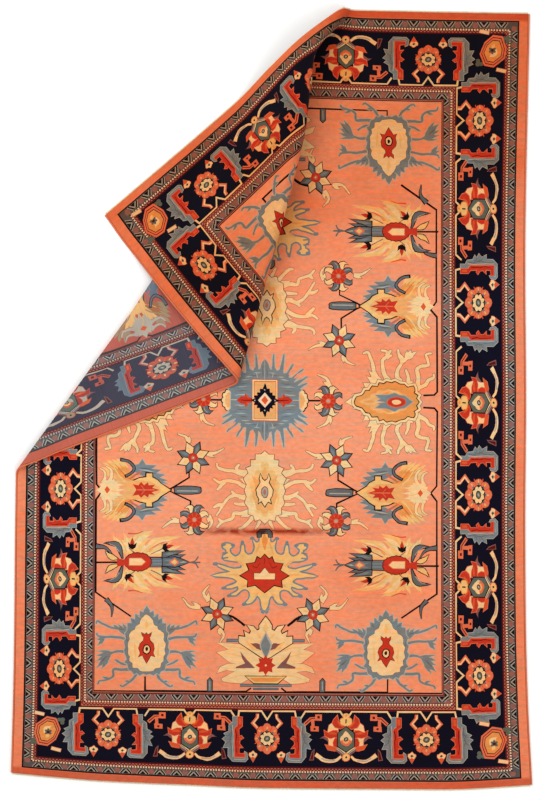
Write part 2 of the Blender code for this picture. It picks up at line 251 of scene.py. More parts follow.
def folded(x, y):
    """The middle of the cloth at the point x, y of the straight rug, as an array of X, Y and Z."""
    reaches, angles, *fields = GRID
    flat_x, flat_y = laid_flat(np.asarray(x, float), np.asarray(y, float))
    dx, dy = flat_x - APEX[0], APEX[1] - flat_y
    reach, angle = np.hypot(dx, dy), np.arctan2(dy, dx)
    angle = np.where(angle < -0.5 * math.pi, angle + 2 * math.pi, angle)
    k = np.clip(np.searchsorted(reaches, reach) - 1, 0, len(reaches) - 2)
    j = np.clip(((angle - angles[0]) / ANGLE_STEP).astype(int), 0, len(angles) - 2)
    u = np.clip((reach - reaches[k]) / (reaches[k + 1] - reaches[k]), 0, 1)
    v = np.clip((angle - angles[j]) / ANGLE_STEP, 0, 1)

    def read(field):
        near, far = (field[i, j] * (1 - v) + field[i, j + 1] * v for i in (k, k + 1))
        return near * (1 - u) + far * u

    turned, height, in_plan = (read(field) for field in fields)
    bent_x, bent_y = APEX[0] + in_plan * np.cos(turned), APEX[1] - in_plan * np.sin(turned)
    return np.stack([bent_x, bent_y, height + THICKNESS / 2], axis=-1)


def directions(x, y):
    """(across, along, normal) at a point of the straight rug: unit vectors on the folded cloth. The normal
    points out of the pile."""
    h = 0.001
    x, y = np.asarray(x, float), np.asarray(y, float)
    across = folded(x + h, y) - folded(x - h, y)
    along = folded(x, y + h) - folded(x, y - h)
    normal = np.cross(across, along)
    return tuple(v / np.linalg.norm(v, axis=-1, keepdims=True) for v in (across, along, normal))


# ---------------------------------------------------------------------------------------------------------
# The wool's colours, in sRGB from 0 to 255

WOOL = {
    "field": (252, 171, 135),
    "edge": (248, 155, 118),
    "navy": (14, 14, 36),
    "black": (24, 17, 22),
    "blue": (128, 147, 158),
    "ice": (184, 198, 194),
    "slate": (106, 118, 126),
    "cream": (253, 228, 174),
    "yellow": (250, 212, 140),
    "sand": (245, 190, 124),
    "orange": (240, 166, 92),
    "flame": (228, 98, 56),
    "red": (206, 62, 42),
    "salmon": (236, 128, 92),
    "rose": (196, 124, 108),
    "mauve": (140, 98, 96),
    "green": (98, 114, 106),
    "madder": (92, 22, 24),
    "guard": (124, 104, 104),
    "outer_guard": (96, 96, 98),
    "silver": (180, 182, 174),
    "pink": (156, 108, 102),
    "white": (254, 234, 206),
}

BACK_WOOL = {  # the colours that look paler or duller on the back
    "field": (196, 98, 86),
    "edge": (206, 100, 80),
    "navy": (52, 56, 78),
    "black": (56, 52, 60),
    "blue": (104, 122, 138),
    "ice": (128, 142, 152),
    "cream": (190, 180, 165),
    "yellow": (170, 150, 120),
    "orange": (176, 120, 80),
    "red": (176, 62, 60),
    "salmon": (190, 96, 86),
    "rose": (170, 110, 108),
    "white": (190, 180, 165),
}
OVERCAST, COTTON, FOUNDATION = (230, 122, 84), (232, 212, 178), (200, 180, 165)
DYE_DEPTH = 0.80  # the wool is this much darker than it looks in the studio's light
RIM_SHADE = 0.8  # and the cut rim of the pile is darker still
COLOURS = list(WOOL)


# ---------------------------------------------------------------------------------------------------------
# Drawing tools. A motif is a list of (colour, outline), the later ones on top. Its own y points up.

CELL = 0.005911  # two knots of the weave, in metres
HALF_ACROSS = WIDTH / 2 / CELL
HALF_ALONG = LENGTH / 2 / CELL
UNEVENNESS = 0.16  # of hand knotting, in cells


def curve(points, closed=False, steps=3):
    """A smooth curve through the points, with this many steps from one to the next."""
    p = np.array(points, float)
    if closed:
        p = np.concatenate([p[-1:], p, p[:2]])
    else:
        p = np.concatenate([2 * p[:1] - p[1:2], p, 2 * p[-1:] - p[-2:-1]])
    a, b, c, d = p[:-3, None], p[1:-2, None], p[2:-1, None], p[3:, None]
    t = np.linspace(0, 1, steps, endpoint=False)[None, :, None]
    run = 0.5 * (2 * b + (c - a) * t + (2 * a - 5 * b + 4 * c - d) * t**2 + (3 * b - a - 3 * c + d) * t**3)
    run = run.reshape(-1, 2)
    return run if closed else np.concatenate([run, p[-2:-1]])


def shape(colour, *points):
    """An outline with straight sides."""
    return [(colour, np.array(points, float))]


def round_shape(colour, *points, steps=3):
    """A smooth outline."""
    return [(colour, curve(points, closed=True, steps=steps))]


def box(colour, left, bottom, right, top):
    """An upright rectangle."""
    return shape(colour, (left, bottom), (right, bottom), (right, top), (left, top))


def oval(colour, x, y, half_width, half_height=None, points=12):
    """An ellipse, or a circle without half_height."""
    a = np.linspace(0, 2 * math.pi, points, endpoint=False)
    half_height = half_width if half_height is None else half_height
    return [(colour, np.stack([x + half_width * np.cos(a), y + half_height * np.sin(a)], axis=1))]


def lobed(colour, x, y, half_width, half_height, lobes, depth, points=4, turn=0.0):
    """An oval with this many lobes round it, cut in by this share of its size. The first one is on top."""
    a = np.linspace(0, 2 * math.pi, lobes * points, endpoint=False) + math.radians(turn)
    size = 1 - depth + depth * abs(np.cos(lobes * (a - math.radians(turn)) / 2)) ** 0.7
    across, up = half_width * size * np.sin(a), half_height * size * np.cos(a)
    return [(colour, np.stack([x + across, y + up], axis=1))]


def sides(points):
    """The unit normals of a run of points, to its left."""
    way = np.gradient(points, axis=0)
    way /= np.linalg.norm(way, axis=1, keepdims=True) + 1e-9
    return np.stack([-way[:, 1], way[:, 0]], axis=1)


def line(colour, width, *points, end=None, steps=3):
    """A band along a smooth curve through the points, as wide as width at its start and end at its end."""
    middle = curve(points, steps=steps)
    half = np.linspace(width, width if end is None else end, len(middle))[:, None] / 2
    side = sides(middle) * half
    return [(colour, np.concatenate([middle + side, (middle - side)[::-1]]))]


def bent_line(colour, width, *points):
    """A band along straight runs."""
    middle = np.array(points, float)
    way = np.diff(middle, axis=0)
    way /= np.linalg.norm(way, axis=1, keepdims=True)
    before, after = np.concatenate([way[:1], way]), np.concatenate([way, way[-1:]])
    both = before + after
    both /= np.maximum(np.sum(both * both, axis=1, keepdims=True) / 2, 0.5)
    side = np.stack([-both[:, 1], both[:, 0]], axis=1) * width / 2
    return [(colour, np.concatenate([middle + side, (middle - side)[::-1]]))]


def fingers(colour, width, end, *runs):
    """Bands with round ends, each along a smooth curve through its run's points."""
    made = []
    for run in runs:
        made += line(colour, width, *run, end=end) + oval(colour, *run[-1], end / 2, points=8)
    return made


def leaf(colour, base, tip, width, bend=0.0, belly=0.4):
    """A pointed leaf. bend: how far its middle stands to the left of the straight line, as a share of its
    length. belly: where it is widest, from base to tip."""
    base, tip = np.array(base, float), np.array(tip, float)
    run = tip - base
    left = np.array([-run[1], run[0]])
    middle = curve([base, base + 0.5 * run + bend * left, tip], steps=4)
    t = np.linspace(0, 1, len(middle))
    bulge = np.where(t < belly, smooth(0.25 + 0.75 * t / belly), smooth((1 - t) / (1 - belly)))
    side = sides(middle) * (width / 2 * bulge)[:, None]
    side[-1] = 0
    return [(colour, np.concatenate([middle + side, (middle - side)[-2::-1]]))]


def grown(points, width):
    """An outline moved outwards by width."""
    ahead = np.roll(points, -1, axis=0) - points
    ahead /= np.linalg.norm(ahead, axis=1, keepdims=True) + 1e-9
    both = ahead + np.roll(ahead, 1, axis=0)
    both /= np.maximum(np.sum(both * both, axis=1, keepdims=True) / 2, 0.4)
    x, y = points.T
    turn = np.sign(np.sum(x * np.roll(y, -1) - y * np.roll(x, -1)))
    return points + np.stack([both[:, 1], -both[:, 0]], axis=1) * width * turn


def outlined(colour, width, motif):
    """A motif with a line of this colour round each of its outlines."""
    return [(colour, grown(points, width)) for _, points in motif] + motif


def rimmed(motif, *rims):
    """A motif over widening rims: (colour, width) pairs, the widest first."""
    return [(colour, grown(points, width)) for colour, width in rims for _, points in motif] + motif


def symmetric(colour, *points, steps=1):
    """An outline from its left half, listed from top to bottom. With more steps it is a smooth one."""
    right = [(-x, y) for x, y in reversed(points) if x != 0]
    outline = np.array([*points, *right], float)
    return [(colour, outline if steps == 1 else curve(outline, closed=True, steps=steps))]


def placed(motif, x=0.0, y=0.0, turn=0.0, flip=False, size=(1.0, 1.0)):
    """A motif scaled, flipped left to right, turned by degrees anticlockwise and moved."""
    c, s = math.cos(math.radians(turn)), math.sin(math.radians(turn))
    across, along = size[0] * (-1 if flip else 1), size[1]
    matrix = np.array([[c * across, -s * along], [s * across, c * along]])
    return [(colour, points @ matrix.T + (x, y)) for colour, points in motif]


def by_hand(motif):
    """A motif with slightly uneven outlines, as hand knotting leaves them."""
    uneven = []
    for colour, points in motif:
        x, y = points.T
        across = np.sin(0.61 * y + 0.23 * x) + np.sin(1.9 * y)
        along = np.sin(0.57 * x - 0.31 * y) + np.sin(2.1 * x)
        uneven.append((colour, points + UNEVENNESS * np.stack([across, along], axis=1)))
    return uneven


def upside_down(motif):
    """A motif mirrored top to bottom."""
    return [(colour, points * (1, -1)) for colour, points in motif]


def both_halves(motif):
    """A motif and its mirror image below."""
    return motif + upside_down(motif)


def both_sides(motif):
    """A motif and its mirror image beside it."""
    return motif + placed(motif, flip=True)


def all_round(motif, count, start=0.0):
    """Copies of a motif turned about its own origin."""
    copies = [placed(motif, turn=start + 360 * k / count) for k in range(count)]
    return [outline for copy in copies for outline in copy]


# ---------------------------------------------------------------------------------------------------------
# The border's motifs, drawn with the rug's inner side up and their origin in the middle of the navy band


def border_bud():
    """The small cream bud on a flame red foot."""
    petals = round_shape(
        "cream", (-4.4, 0.4), (-4.2, 2.8), (-2.6, 3.2), (0, 5.4), (2.6, 3.2), (4.2, 2.8), (4.4, 0.4),
        (2.6, -2), (0, -1), (-2.6, -2), steps=2,
    )
    foot = shape("flame", (-3.4, -1.4), (3.4, -1.4), (0, -7.4))
    return (
        outlined("rose", 0.5, foot)
        + outlined("salmon", 0.5, petals)
        + shape("green", (-2, 1), (0, 3), (2, 1), (0, -0.8))
        + oval("black", 0, 1, 0.7, points=6)
    )


def border_rosette():
    """The eight-lobed flower, with a bent leg at each upper corner and a bud at each lower one."""
    legs = both_sides(
        bent_line("salmon", 3.0, (-6, 6.5), (-14.2, 15.6), (-9.7, 21), (-9.6, 24.8))
        + bent_line("cream", 1.2, (-7.2, 8.4), (-13.6, 15.6), (-9.2, 21), (-9.1, 24.4))
        + placed(border_bud(), -14.1, -17.2, size=(0.84, 0.84))
    )
    flower = outlined("madder", 0.5, lobed("salmon", 0, 0, 12.4, 15.4, 8, 0.13))
    veins = all_round(line("flame", 0.9, (0, 8), (0, 13.4)), 8, 22.5)
    tips = all_round(leaf("sand", (0, 8.4), (0, 12.6), 1.6, belly=0.6), 8)
    eye = (
        oval("black", 0, 0, 7.8, points=16)
        + all_round(leaf("cream", (0, 1), (0, 7.4), 3.9, belly=0.7), 8, 22.5)
    )
    spots = all_round(oval("slate", 0, 8.2, 1.1, points=6), 8)
    middle = oval("black", 0, 0, 3.2) + oval("green", 0, 0, 2.5) + oval("silver", 0, 0, 1.2, points=8)
    return legs + flower + veins + tips + eye + spots + middle


def curled_petal(colour, light):
    """A petal that points up and hooks to the right."""
    outline = (
        (-3.0, 7.4), (-3.0, 11.4), (-1.0, 14.4), (2.2, 15.6), (7.0, 13.6), (3.6, 13.2), (2.9, 10.6),
        (3.0, 7.4),
    )
    return (
        outlined("black", 0.8, shape(colour, *outline))
        + line(light, 1.0, (-1.2, 8.4), (-0.8, 11.6), (1.4, 14), end=0.4)
    )


def hook_leaf():
    """The blue leaf at the left of a rosette, with its red inner side and the hook at its foot."""
    blue = shape(
        "blue", (-29.7, 21.7), (-34.1, 21.7), (-34.1, 15.8), (-38, 13.4), (-38.4, 6.6), (-43, 4.4),
        (-40.4, 1.8), (-44.6, -0.8), (-41, -4), (-43.6, -9.8), (-38.8, -9.2), (-38.8, -18),
        (-34.4, -23.3), (-21.6, -23.3), (-19.4, -20.6), (-20, -14.8), (-22.4, -13.4), (-22.4, -19),
        (-33, -19), (-33, 10), (-29.7, 13.4),
    )
    red = shape(
        "red", (-29.4, 21.4), (-25.0, 21.4), (-25.0, 12.2), (-28.2, 9.4), (-28.2, 1.2), (-26, 2.4),
        (-24, 0.4), (-27.4, -2), (-27.8, -5.4), (-24.6, -9.4), (-28.2, -9.2), (-28.2, -15.4),
        (-23.4, -15.6), (-22.6, -14), (-22.6, -18.6), (-32.4, -18.8), (-32.4, 9.8), (-29.4, 12.4),
    )
    veins = (
        line("slate", 1.1, (-36.0, 12), (-35.4, 4), (-37.4, -2), (-35.6, -10), (-36, -19), end=0.6)
        + line("slate", 1.1, (-35.6, 6.4), (-38, 2.6), (-42, 2.0), end=0.4)
        + line("slate", 1.1, (-36, -0.6), (-39, -4.4), (-42.4, -6.4), end=0.4)
        + line("ice", 0.8, (-34.4, 13), (-34.0, 2), (-34.4, -10), (-34.2, -19), end=0.6)
        + line("ice", 0.7, (-33, -21.4), (-24, -21.4), (-21, -19.4), end=0.5)
        + line("slate", 0.8, (-38.4, 5), (-37, 0), (-40, -2), end=0.4)
        + line("madder", 0.9, (-31.4, 8.6), (-30.6, 1), (-31.4, -6), (-30.4, -15), end=0.5)
        + box("flame", -28.6, 14, -26, 20)
        + line("salmon", 0.6, (-27.6, -0.4), (-25, 0.4), end=0.4)
        + line("salmon", 0.6, (-27.6, -8.4), (-25.4, -9.2), end=0.4)
    )
    return outlined("ice", 0.5, blue) + outlined("salmon", 0.6, red) + veins


def border_palmette():
    """The palmette with flame wings, between two rosettes."""
    leaves = both_sides(
        outlined(
            "madder", 0.5,
            line("cream", 2.2, (-5, -17), (-10, -20.9), (-20.6, -21.6), (-30.4, -15.4), end=4.0),
        )
        + line("silver", 1.6, (-11, -21.2), (-20, -21.4), (-25, -18.8), end=1.2)
        + outlined(
            "mauve", 0.8,
            shape("madder", (-32, -10.6), (-33.6, -12.6), (-35.8, -20.4), (-32.8, -20.6)),
        )
    )
    hooks = both_sides(
        bent_line("salmon", 3.4, (-25, 20.6), (-35, 20.2), (-41.5, 14.4))
        + bent_line("madder", 0.9, (-31, 20.6), (-35, 20.3), (-41, 15))
        + bent_line("salmon", 3.2, (-33.4, 20), (-33, 11))
        + box("salmon", -31, 18.4, -24.2, 24.8)
        + box("madder", -28.8, 20.4, -26.4, 22.8)
        + box("salmon", -35.6, 7.6, -27.4, 12.8)
        + box("madder", -32.4, 9.2, -30.4, 11.2)
    )
    wings = both_sides(
        leaf("mauve", (-16.6, -3), (-27, 0.6), 4.6, bend=-0.3)
        + outlined(
            "salmon", 0.5,
            shape(
                "cream", (-8, 11), (-14, 16), (-17, 13.8), (-18, 9.6), (-19, 4), (-17.4, -1),
                (-17.2, -6.6), (-12, -9), (-8, -6),
            ),
        )
        + outlined(
            "salmon", 0.7,
            shape(
                "red", (-0.6, 12.6), (-5.8, 14), (-7.6, 17.6), (-8.9, 23.4), (-12.4, 19.6),
                (-13.6, 15.6), (-11, 11.8), (-5.4, 10.4),
            ),
        )
        + leaf("flame", (-3, 12), (-10.4, 19.4), 2.6)
        + outlined(
            "salmon", 0.6,
            shape(
                "red", (-8.6, 8.6), (-13, 8.6), (-18, 6.2), (-21.8, 8.6), (-20.8, 3), (-15.6, 1),
                (-11, 2.2), (-8.6, -1),
            ),
        )
        + leaf("flame", (-9, 5.4), (-19, 4.6), 2.6, bend=-0.1)
        + outlined(
            "salmon", 0.6,
            shape("red", (-8.6, 1), (-11.4, 0.6), (-13, -3.4), (-12, -10), (-9, -10.4)),
        )
        + outlined(
            "salmon", 0.6,
            shape(
                "flame", (-9, -8.6), (-13.6, -7.4), (-20.6, -5.6), (-18, -10.2), (-12.2, -11.4),
                (-7.6, -11.2),
            ),
        )
        + bent_line("silver", 1.1, (-9.4, -9), (-1, -15.8))
        + bent_line("cream", 1.2, (-8.2, -8), (0.4, -14.6))
        + bent_line("mauve", 1.4, (-10.2, -10.4), (-3, -16.4))
    )
    buds = (
        outlined(
            "orange", 0.8,
            lobed("yellow", 0, 17.6, 5.8, 4.2, 6, 0.1) + oval("yellow", 0, 23.2, 3, 2.2, points=10),
        )
        + oval("orange", 0, 23.6, 1.4, points=6)
        + box("black", -0.6, 15.6, 0.6, 20)
        + outlined("salmon", 0.7, oval("yellow", 0, -18, 3.6, 3.6, points=10))
        + oval("black", 0, -17.8, 1.0, 1.2, points=8)
    )
    heart = outlined(
        "black", 0.9,
        shape("green", (0, 12.2), (-8.2, 6), (-8.2, -7), (0, -12.2), (8.2, -7), (8.2, 6)),
    )
    inside = (
        round_shape(
            "cream", (0, 8.4), (-3.4, 4.4), (-6, 0.6), (-4.6, -3), (0, -4), (4.6, -3), (6, 0.6),
            (3.4, 4.4), steps=2,
        )
        + round_shape(
            "salmon", (-5.6, -1.4), (-4.2, -4.6), (0, -7.2), (4.2, -4.6), (5.6, -1.4), (0, -0.4),
            steps=2,
        )
        + round_shape("sand", (-3.4, -2), (0, -4.8), (3.4, -2), (0, 1), steps=2)
        + oval("black", 0, 0, 2.3, points=10)
        + oval("silver", 0, 0, 1.3, points=8)
    )
    return hooks + leaves + wings + buds + heart + inside


def corner_hexagon():
    """The flower in each corner of the border: a long hexagon of nested lines round a small bloom."""
    points = (
        (-1, 16.5), (8.2, 14.8), (12.8, 3), (8.2, -9), (0, -16.5), (-9.4, -15.4), (-13.2, -3),
        (-11.8, 7.4),
    )
    rims = []
    nested = (("salmon", 1.0), ("black", 0.87), ("salmon", 0.82), ("black", 0.7), ("orange", 0.65))
    for colour, size in nested:
        rims += shape(colour, *[(x * size, y * size) for x, y in points])
    bloom = (
        leaf("cream", (-3.6, -2), (4, 6.4), 6, bend=0.1)
        + lobed("green", 0.5, -1, 3.8, 4.2, 6, 0.35)
        + oval("madder", 0.5, -1, 1.6, points=8)
        + leaf("yellow", (1, -3), (-2, -8), 4)
    )
    trefoil = both_sides(oval("green", -2.2, 0, 2.2, points=8)) + oval("green", 0, 2.6, 2.4, points=8)
    bars = outlined("rose", 0.5, box("cream", -4.6, -1.6, 4.6, 1.6))
    far = placed(trefoil, 12.6, 11.5, turn=-45) + placed(bars, -8.5, 19.4, turn=-12)
    return far + placed(far, turn=180) + rims + bloom


def guard_repeat(pitch, width):
    """One repeat of a guard stripe, from its far side at y = 0 to the navy border's side at y = width."""
    strokes = (
        bent_line("silver", 1.0, (-6.2, 0.7), (-2.4, width - 0.9))
        + bent_line("black", 1.4, (-5.2, 0.7), (-1.6, width - 1.6))
        + bent_line("silver", 0.9, (-3.7, 0.7), (0, width - 2.2))
    )
    triangle = shape("black", (-2.6, 0.6), (2.6, 0.6), (0, 0.55 * width))
    lozenge = shape(
        "pink", (-1.6, 1.2), (1.6, 1.2), (2.8, 0.6 * width), (2, width - 0.7), (-2, width - 0.7),
        (-2.8, 0.6 * width),
    )
    return both_sides(strokes) + triangle + placed(lozenge, pitch / 2)


# ---------------------------------------------------------------------------------------------------------
# The field's motifs. One at the side of the field is drawn for the right side, with its stem to the right.


def star():
    """Eight pointed petals, blue and cream by turns."""
    outline = ((-1.4, 4), (-4.1, 9), (0, 16.4), (4.1, 9), (1.4, 4))
    petal = outlined("black", 0.9, shape("slate", *outline)) + leaf("blue", (-0.8, 5), (-0.4, 14.6), 3.4)
    pale = outlined("black", 0.8, shape("cream", *outline)) + leaf("yellow", (0.8, 5), (0.6, 13), 2)
    centre = (
        lobed("red", 0, 0, 5.4, 5.4, 8, 0.25, points=3) + lobed("rose", 0, 0, 2.6, 2.6, 6, 0.2, points=2)
    )
    return (
        all_round(petal, 4, 22.5) + all_round(pale, 4, 67.5) + centre + oval("cream", 0, 0, 0.9, points=6)
    )


def pinwheel():
    """Eight hooked petals that curl away from the stem's line, blue and cream."""
    slim = (0.80, 0.97)
    right = (
        placed(curled_petal("cream", "yellow"), turn=-13)
        + placed(curled_petal("slate", "silver"), turn=-55, size=slim)
    )
    left = (
        placed(curled_petal("slate", "silver"), turn=-13)
        + placed(curled_petal("cream", "yellow"), turn=-55, size=slim)
    )
    bloom = lobed("flame", 0, 0, 8.0, 8.0, 8, 0.12, points=2)
    petals = all_round(shape("red", (-1, 2.6), (-2.2, 7.4), (2.2, 7.4), (1, 2.6)), 8)
    eye = oval("salmon", 0, 0, 2.5, points=8) + oval("silver", 0, 0, 1.5, points=8)
    return both_halves(right + placed(left, flip=True)) + bloom + petals + eye


def medallion():
    """The field's middle: a grey blue body with light-edged rays and an orange heart."""
    rays = (
        # start, end and width, in the upper left quarter
        ((-8, 29), (-9, 46.2), 5.4),
        ((-16.4, 27), (-19.4, 46.6), 6.6),
        ((-22, 24), (-28.4, 36.4), 6.4),
        ((-26, 19), (-38.6, 31.6), 7.4),
        ((-29, 15), (-43, 24), 6.6),
        ((-30, 11), (-42.6, 17.4), 6.6),
    )
    light, dark = [], []
    for start, end, width in rays:
        light += line("ice", width, start, end, end=3.2)
        dark += line("blue", width - 2.2, start, end, end=0.9)
    gaps = leaf("field", (-23.6, 25), (-29.4, 33.6), 2.2) + leaf("field", (-29, 21.4), (-37.6, 29.4), 2.4)
    body = shape(
        "blue", (0, 0), (0, 41), (-3.2, 37), (-4.6, 32), (-7, 30), (-10, 33), (-12, 29), (-17, 32),
        (-19, 27), (-24, 27.4), (-24, 23), (-30, 22), (-28.6, 18.4), (-34, 17.4), (-32.6, 13), (-37, 11),
        (-34.3, 8), (-34.3, 0),
    )
    quarter = light + outlined("ice", 0.8, body) + dark + gaps + body
    streaks = (
        # colour, y, start and end along x
        ("ice", 5, -31, -15),
        ("slate", 9, -28, -16),
        ("ice", 13, -30, -15),
        ("slate", 16, -26, -15),
        ("ice", 20, -24, -14),
        ("slate", 24, -16, -4),
        ("ice", 27, -11, -3),
        ("ice", 23, -20, -11),
    )
    for colour, y, start, end in streaks:
        quarter += leaf(colour, (start, y), (end, y + 0.8), 1.0)
    quarter += leaf("slate", (-2, 22), (-2.4, 35), 1.0) + leaf("ice", (-7, 22), (-9, 29), 0.9)
    flowers = both_sides(
        outlined("black", 1.0, lobed("cream", -34.4, 0, 9, 11.4, 12, 0.13))
        + lobed("sand", -34.4, 0, 6, 8.4, 12, 0.13)
    )
    cover = both_sides(box("blue", -34.4, -11.6, -11, 11.6))
    arrows = both_sides(
        shape(
            "red", (-12, 2), (-16, 3), (-19.4, 7), (-20.6, 3.6), (-24, 3.6), (-28.4, 0), (-24, -3.6),
            (-20.6, -3.6), (-19.4, -7), (-16, -3), (-12, -2),
        )
        + line("madder", 1.0, (-13, 0), (-24, 0), end=0.6)
        + leaf("flame", (-16, 2), (-20, 5), 1.6)
        + leaf("flame", (-16, -2), (-20, -5), 1.6)
    )
    a = np.linspace(0, 2 * math.pi, 96, endpoint=False)
    size = (1 + 0.10 * np.cos(16 * a)) / (abs(np.cos(a)) / 13.2 + abs(np.sin(a)) / 15.6)
    lozenge = [("navy", np.stack([size * np.cos(a), size * np.sin(a)], axis=1))]
    heart = (
        outlined("red", 0.6, box("cream", -12.6, -20, 12.6, 20.4))
        + outlined("red", 0.5, box("sand", -10.8, -18.2, 10.8, 18.6))
        + lozenge
        + all_round(oval("silver", 0, 10.2, 0.8, points=6), 4)
        + shape("white", (0, 7.5), (-6.9, 0), (0, -7.5), (6.9, 0))
        + shape("flame", (0, 4.3), (-3.6, 0), (0, -4.3), (3.6, 0))
    )
    return flowers + cover + both_sides(both_halves(quarter)) + arrows + heart


def tendrils(colour, rim, width, *runs):
    """Branching tendrils on both sides, each run a list of points, with a thin rim and a round end."""
    outer = fingers(rim, width + 1.2, width * 0.5 + 1.2, *runs)
    return both_sides(outer) + both_sides(fingers(colour, width, width * 0.5, *runs))


def cream_palmette():
    """The oval palmette with cream tendrils, at the field's axis. Its crown is on top."""
    arms = tendrils(
        "cream", "rose", 4.4,
        ((-14, 14), (-24, 16.6), (-32, 19.6), (-41, 20.4), (-47, 23), (-48, 26.4)),
        ((-25, 17), (-28.6, 22), (-26, 25.6)),
        ((-16, 1), (-22, 5), (-29.7, 8.8), (-40, 9.6), (-46, 8), (-51, 11.4)),
        ((-40, 9.6), (-44.6, 4), (-47.6, 1)),
        ((-16, -5), (-22, -6.6), (-30, -4.6), (-37, -8), (-42, -14.6), (-48, -24.4)),
        ((-42, -14.6), (-46.6, -14.4), (-51, -17)),
        ((-30, -4.6), (-33, -1)),
        ((-15, -13), (-24, -13.6), (-30, -13)),
        ((-14, -20), (-23, -22.6), (-30.6, -22.4), (-33, -28), (-43, -31.4), (-47.6, -36.6)),
        ((-43, -31.4), (-46, -28.6)),
        ((-10, -24), (-15.4, -30.6), (-22.4, -37), (-26, -37.6)),
        ((-4, -26), (-5.6, -32), (-9, -38)),
    )
    roots = both_sides(
        leaf("cream", (-12, 14), (-29, 22), 7, belly=0.3)
        + leaf("cream", (-14, 8), (-27, 12.4), 6, belly=0.3)
        + leaf("cream", (-14, -5), (-28, -9), 6, belly=0.3)
        + leaf("cream", (-12, -20), (-25, -27), 7, belly=0.3)
    )
    outline = symmetric(
        "cream", (0, 39.4), (-4, 36.4), (-9.4, 36), (-9, 30.6), (-14, 30.4), (-13.6, 24.6), (-19, 22.4),
        (-16.4, 17.6), (-21.4, 12), (-18.2, 6), (-20.6, 0), (-18, -6), (-20, -12), (-16.4, -17),
        (-16.6, -23), (-11.4, -25), (-9.6, -30), (-4.6, -28.4), (0, -33), steps=2,
    )
    warm = lobed("yellow", 0, -1, 15.6, 25.4, 10, 0.14) + leaf("yellow", (0, 18), (0, 34), 9)
    beige = (
        lobed("sand", 0, -4, 12.6, 19.4, 8, 0.16)
        + both_sides(leaf("sand", (-6, 4), (-13.6, 17), 4))
        + leaf("sand", (0, 10), (0, 25), 6)
    )
    light = (
        both_sides(leaf("cream", (-9, -20), (-13, -6), 2.4) + leaf("cream", (-4, 20), (-8.6, 29), 3))
        + leaf("cream", (0, 27), (0, 36), 5)
    )
    vase = rimmed(
        symmetric(
            "cream", (0, 9.6), (-2.6, 11.8), (-4.2, 17), (-5.2, 12), (-4, 8.4), (-8.2, 1), (-7.6, -4.6),
            (-5.2, -8.4), (-6.4, -12.4), (-3.2, -10.6), (0, -15.6),
        ),
        ("black", 0.9),
    )
    eye = (
        oval("mauve", 0, -1.4, 3.8, 6.2)
        + oval("silver", 0, -1.4, 3.0, 5.2)
        + oval("rose", 0, -1.4, 1.4, 3.0)
    )
    return (
        rimmed(roots, ("rose", 0.6))
        + arms
        + roots
        + rimmed(outline, ("mauve", 0.7))
        + warm
        + beige
        + light
        + vase
        + eye
    )


